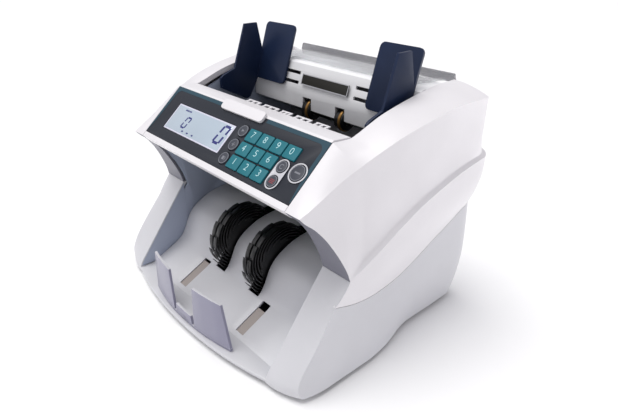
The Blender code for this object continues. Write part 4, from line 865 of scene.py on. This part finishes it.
def under_strip():
    """Strip along the underside of the cover's nose, in the darker grey that paints in the shade there."""
    half = STRIP_HALF_WIDTH
    bm = bmesh.new()
    line = [(-0.42, -0.9), (-0.42, -8.6), (0.45, -12.4), (0.1, -12.6), (-0.75, -8.6), (-0.75, -0.9)]
    add_loop_solid(bm, [panel_point(-half, s, n) for s, n in line],
                   [panel_point(half, s, n) for s, n in line])
    finish_mesh(piece("cover_under_shade_strip", bm, "painted_shade_grey", "cover"), 0.12, 2)


def comb():
    """Thin broken strip behind the cover's top bar, joined to it by short bridges."""
    bm = bmesh.new()
    for start, stop in COMB_SPANS:
        add_box(bm, (start, -17.9, 171.4), (stop, -16.4, 172.3))
        for x in (start + 1.5, (start + stop) / 2, stop - 1.5):
            add_box(bm, (x - 1.1, -21.4, 170.9), (x + 1.1, -17.2, 171.9))
    finish_mesh(piece("cover_comb", bm, "white_shell", "cover"), 0.15, 2)


def stacker_floor():
    """The S-shaped floor as one smooth sheet with slots for the wheels and for the two sensors."""
    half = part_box("stacker_floor")[1][0] / MM
    cuts = [-half, -70, -49.3, -39.7, -31.8, -18.2, 0, 18.2, 31.8, 39.7, 49.3, 70, half]
    ys = [-90.5] + [-87 + 1.25 * k for k in range(77)]
    line = [(y, curve(FLOOR_LINE, y) - (0.8 if y < -87 else 0)) for y in ys]
    bm = bmesh.new()
    rows = [[bm.verts.new((x, y, z)) for x in cuts] for y, z in line]
    for i in range(len(line) - 1):
        y = line[i][0]
        for k in range(len(cuts) - 1):
            middle = abs(cuts[k] + cuts[k + 1]) / 2
            wheel_slot = 20 < middle < 30 and y >= -58
            sensor_slot = 40 < middle < 48 and SENSOR_SLOT[0] <= y < SENSOR_SLOT[1]
            if wheel_slot or sensor_slot:
                continue
            bm.faces.new((rows[i][k], rows[i][k + 1], rows[i + 1][k + 1], rows[i + 1][k]))
    bmesh.ops.delete(bm, geom=[v for v in bm.verts if not v.link_faces], context="VERTS")
    obj = piece("stacker_floor_finished", bm, "grey_shell", "frame", ["stacker_floor"])
    thicken(obj, SHELL_WALL)
    finish_mesh(obj, 0.35, 2, 40)


def pickup_rollers():
    """Dark ribbed sleeve with a narrow brass ring on each rib."""
    axis = [c / MM for c in JOINTS["pickup_spin"]["pos_m"][1:]]
    lo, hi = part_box("pickup_rollers")
    radius = (hi[2] - lo[2]) / 2 / MM

    def turned(name, steps, look):
        """A round piece on the roller's shaft, from (x, radius) steps."""
        bm = bmesh.new()
        add_turned(bm, [[(x, y, z) for y, z in circle(axis, r, 48)] for x, r in steps])
        return finish_mesh(piece(name, bm, look, "pickup"), 0.3, 2)

    rib = radius - 1.2
    steps = [(-30, 4.3), (-25.6, 4.3), (-25.6, rib), (-16.4, rib), (-16.4, 4.3), (16.4, 4.3),
             (16.4, rib), (25.6, rib), (25.6, 4.3), (30, 4.3)]
    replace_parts(turned("pickup_sleeve", steps, "black_plastic"), "pickup_rollers")
    for side, x in (("left", -20.4), ("right", 21.6)):
        turned(f"pickup_ring_{side}", [(x, 5.0), (x, radius - 0.3), (x + 0.6, radius), (x + 2.2, radius),
                                       (x + 2.8, radius - 0.3), (x + 2.8, 5.0)], "brass_roller")


def floor_slots():
    """Beige sensor strips set in the floor's two outer slots."""
    for side, sign, steps in (("left", -1, 15), ("right", 1, 13)):
        bm = bmesh.new()
        line = [(y, curve(FLOOR_LINE, y) - 1.1) for y in [-86.5 + 2 * k for k in range(steps)]]
        x0, x1 = sorted((sign * 40.0, sign * 49.0))
        profile = line + [(y, z - 1.0) for y, z in reversed(line)]
        add_loop_solid(bm, [(x0, y, z) for y, z in profile], [(x1, y, z) for y, z in profile])
        piece(f"sensor_strip_{side}", bm, "slot_beige", "frame")


def cheek_liners():
    """Slate-blue inner skins between the cheeks and the side frames."""
    heights = [7.6, 10, 12, 14, 30, 50, 70, 79]
    outline = [(cheek_y(z) + 1.4, z) for z in heights] + [(-45, 79), (-45, 7.6)]
    for side, sign in (("left", -1), ("right", 1)):
        bm = bmesh.new()
        x0, x1 = sign * (INNER_X - 0.05), sign * (INNER_X + 0.35)
        add_loop_solid(bm, [(x0, y, z) for y, z in outline], [(x1, y, z) for y, z in outline])
        finish_mesh(piece(f"cheek_liner_{side}", bm, "inner_wall", "frame"), 0.1, 2)


def screws():
    """Pan-head screws on the rear panel."""
    lo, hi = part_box("rear_panel")
    face = hi[1] / MM
    places = [(x, z) for x in (lo[0] / MM + SCREW_INSET, hi[0] / MM - SCREW_INSET)
              for z in (lo[2] / MM + SCREW_INSET, hi[2] / MM - SCREW_INSET)]
    for index, place in enumerate(places):
        bm = bmesh.new()
        add_turned(bm, [[(x, face + lift, z) for x, z in circle(place, radius, 24)]
                        for radius, lift in SCREW_PROFILE])
        finish_mesh(piece(f"rear_screw_{index}", bm, "bare_steel", "frame"), 0.1, 2)


def paint_carried_over():
    """Detailed materials for the CAD nodes that are shown as they are."""
    for node, obj in frame["nodes"].items():
        if not obj.hide_render:
            obj.data.materials.clear()
            obj.data.materials.append(LOOKS[NODE_SLOT[node]])


# ---- camera, light, floor ---------------------------------------------------------------------------
def camera():
    """The main view."""
    data = bpy.data.cameras.new("camera")
    data.sensor_width = 36.0
    data.lens = CAMERA_LENS
    obj = bpy.data.objects.new("camera", data)
    obj.location = Vector(CAMERA_PLACE) * MM
    level = math.cos(CAMERA_DIP)
    forward = Vector((-math.sin(CAMERA_AZIMUTH) * level, math.cos(CAMERA_AZIMUTH) * level,
                      -math.sin(CAMERA_DIP)))
    obj.rotation_mode = "QUATERNION"
    obj.rotation_quaternion = forward.to_track_quat("-Z", "Y")
    bpy.context.scene.collection.objects.link(obj)
    bpy.context.scene.camera = obj


def area_light(name, place, size, power, colour):
    """A soft square light that faces the machine."""
    data = bpy.data.lights.new(name, "AREA")
    data.size = size
    data.energy = power
    data.color = colour
    obj = bpy.data.objects.new(name, data)
    obj.location = place
    obj.rotation_mode = "QUATERNION"
    obj.rotation_quaternion = (Vector((0, 0, 0.08)) - Vector(place)).to_track_quat("-Z", "Y")
    bpy.context.scene.collection.objects.link(obj)


def sun_light(name, towards, strength, spread_degrees):
    """A wide, even light from a direction."""
    data = bpy.data.lights.new(name, "SUN")
    data.energy = strength
    data.angle = math.radians(spread_degrees)
    data.color = (1.0, 0.995, 0.975)
    obj = bpy.data.objects.new(name, data)
    obj.rotation_mode = "QUATERNION"
    obj.rotation_quaternion = Vector(towards).to_track_quat("Z", "Y")
    bpy.context.scene.collection.objects.link(obj)


def studio():
    """Pale floor, even surroundings and three lights."""
    bm = bmesh.new()
    corners = [bm.verts.new((x, y, 0)) for x, y in ((-4, -4), (4, -4), (4, 4), (-4, 4))]
    bm.faces.new(corners)
    mesh = bpy.data.meshes.new("floor")
    bm.to_mesh(mesh)
    bm.free()
    mesh.materials.append(plastic("floor", (0.985, 0.985, 0.985), 0.7, bump=0.0, variation=0.005))
    floor = bpy.data.objects.new("floor", mesh)
    bpy.context.scene.collection.objects.link(floor)
    world = bpy.data.worlds.new("studio")
    world.use_nodes = True
    backdrop = world.node_tree.nodes["Background"]
    backdrop.inputs["Color"].default_value = (0.955, 0.945, 1.0, 1)
    backdrop.inputs["Strength"].default_value = 0.55
    bpy.context.scene.world = world
    bpy.context.scene.view_settings.view_transform = "Standard"
    sun_light("overhead_light", (-0.26, -0.14, 1.0), 1.92, 45)
    area_light("front_light", (-0.9, -1.3, 0.9), 0.8, 1.4, (1.0, 1.0, 0.99))
    area_light("side_light", (0.55, 0.8, 0.16), 0.35, 1.6, (1.0, 0.985, 1.0))


upper_shell()
base_shell()
front_lip()
stacking_wheels()
surroundings()
stacker_floor()
pickup_rollers()
keypad()
display()
add_border()
under_strip()
label_frame()
comb()
floor_slots()
cheek_liners()
screws()
paint_carried_over()
camera()
studio()
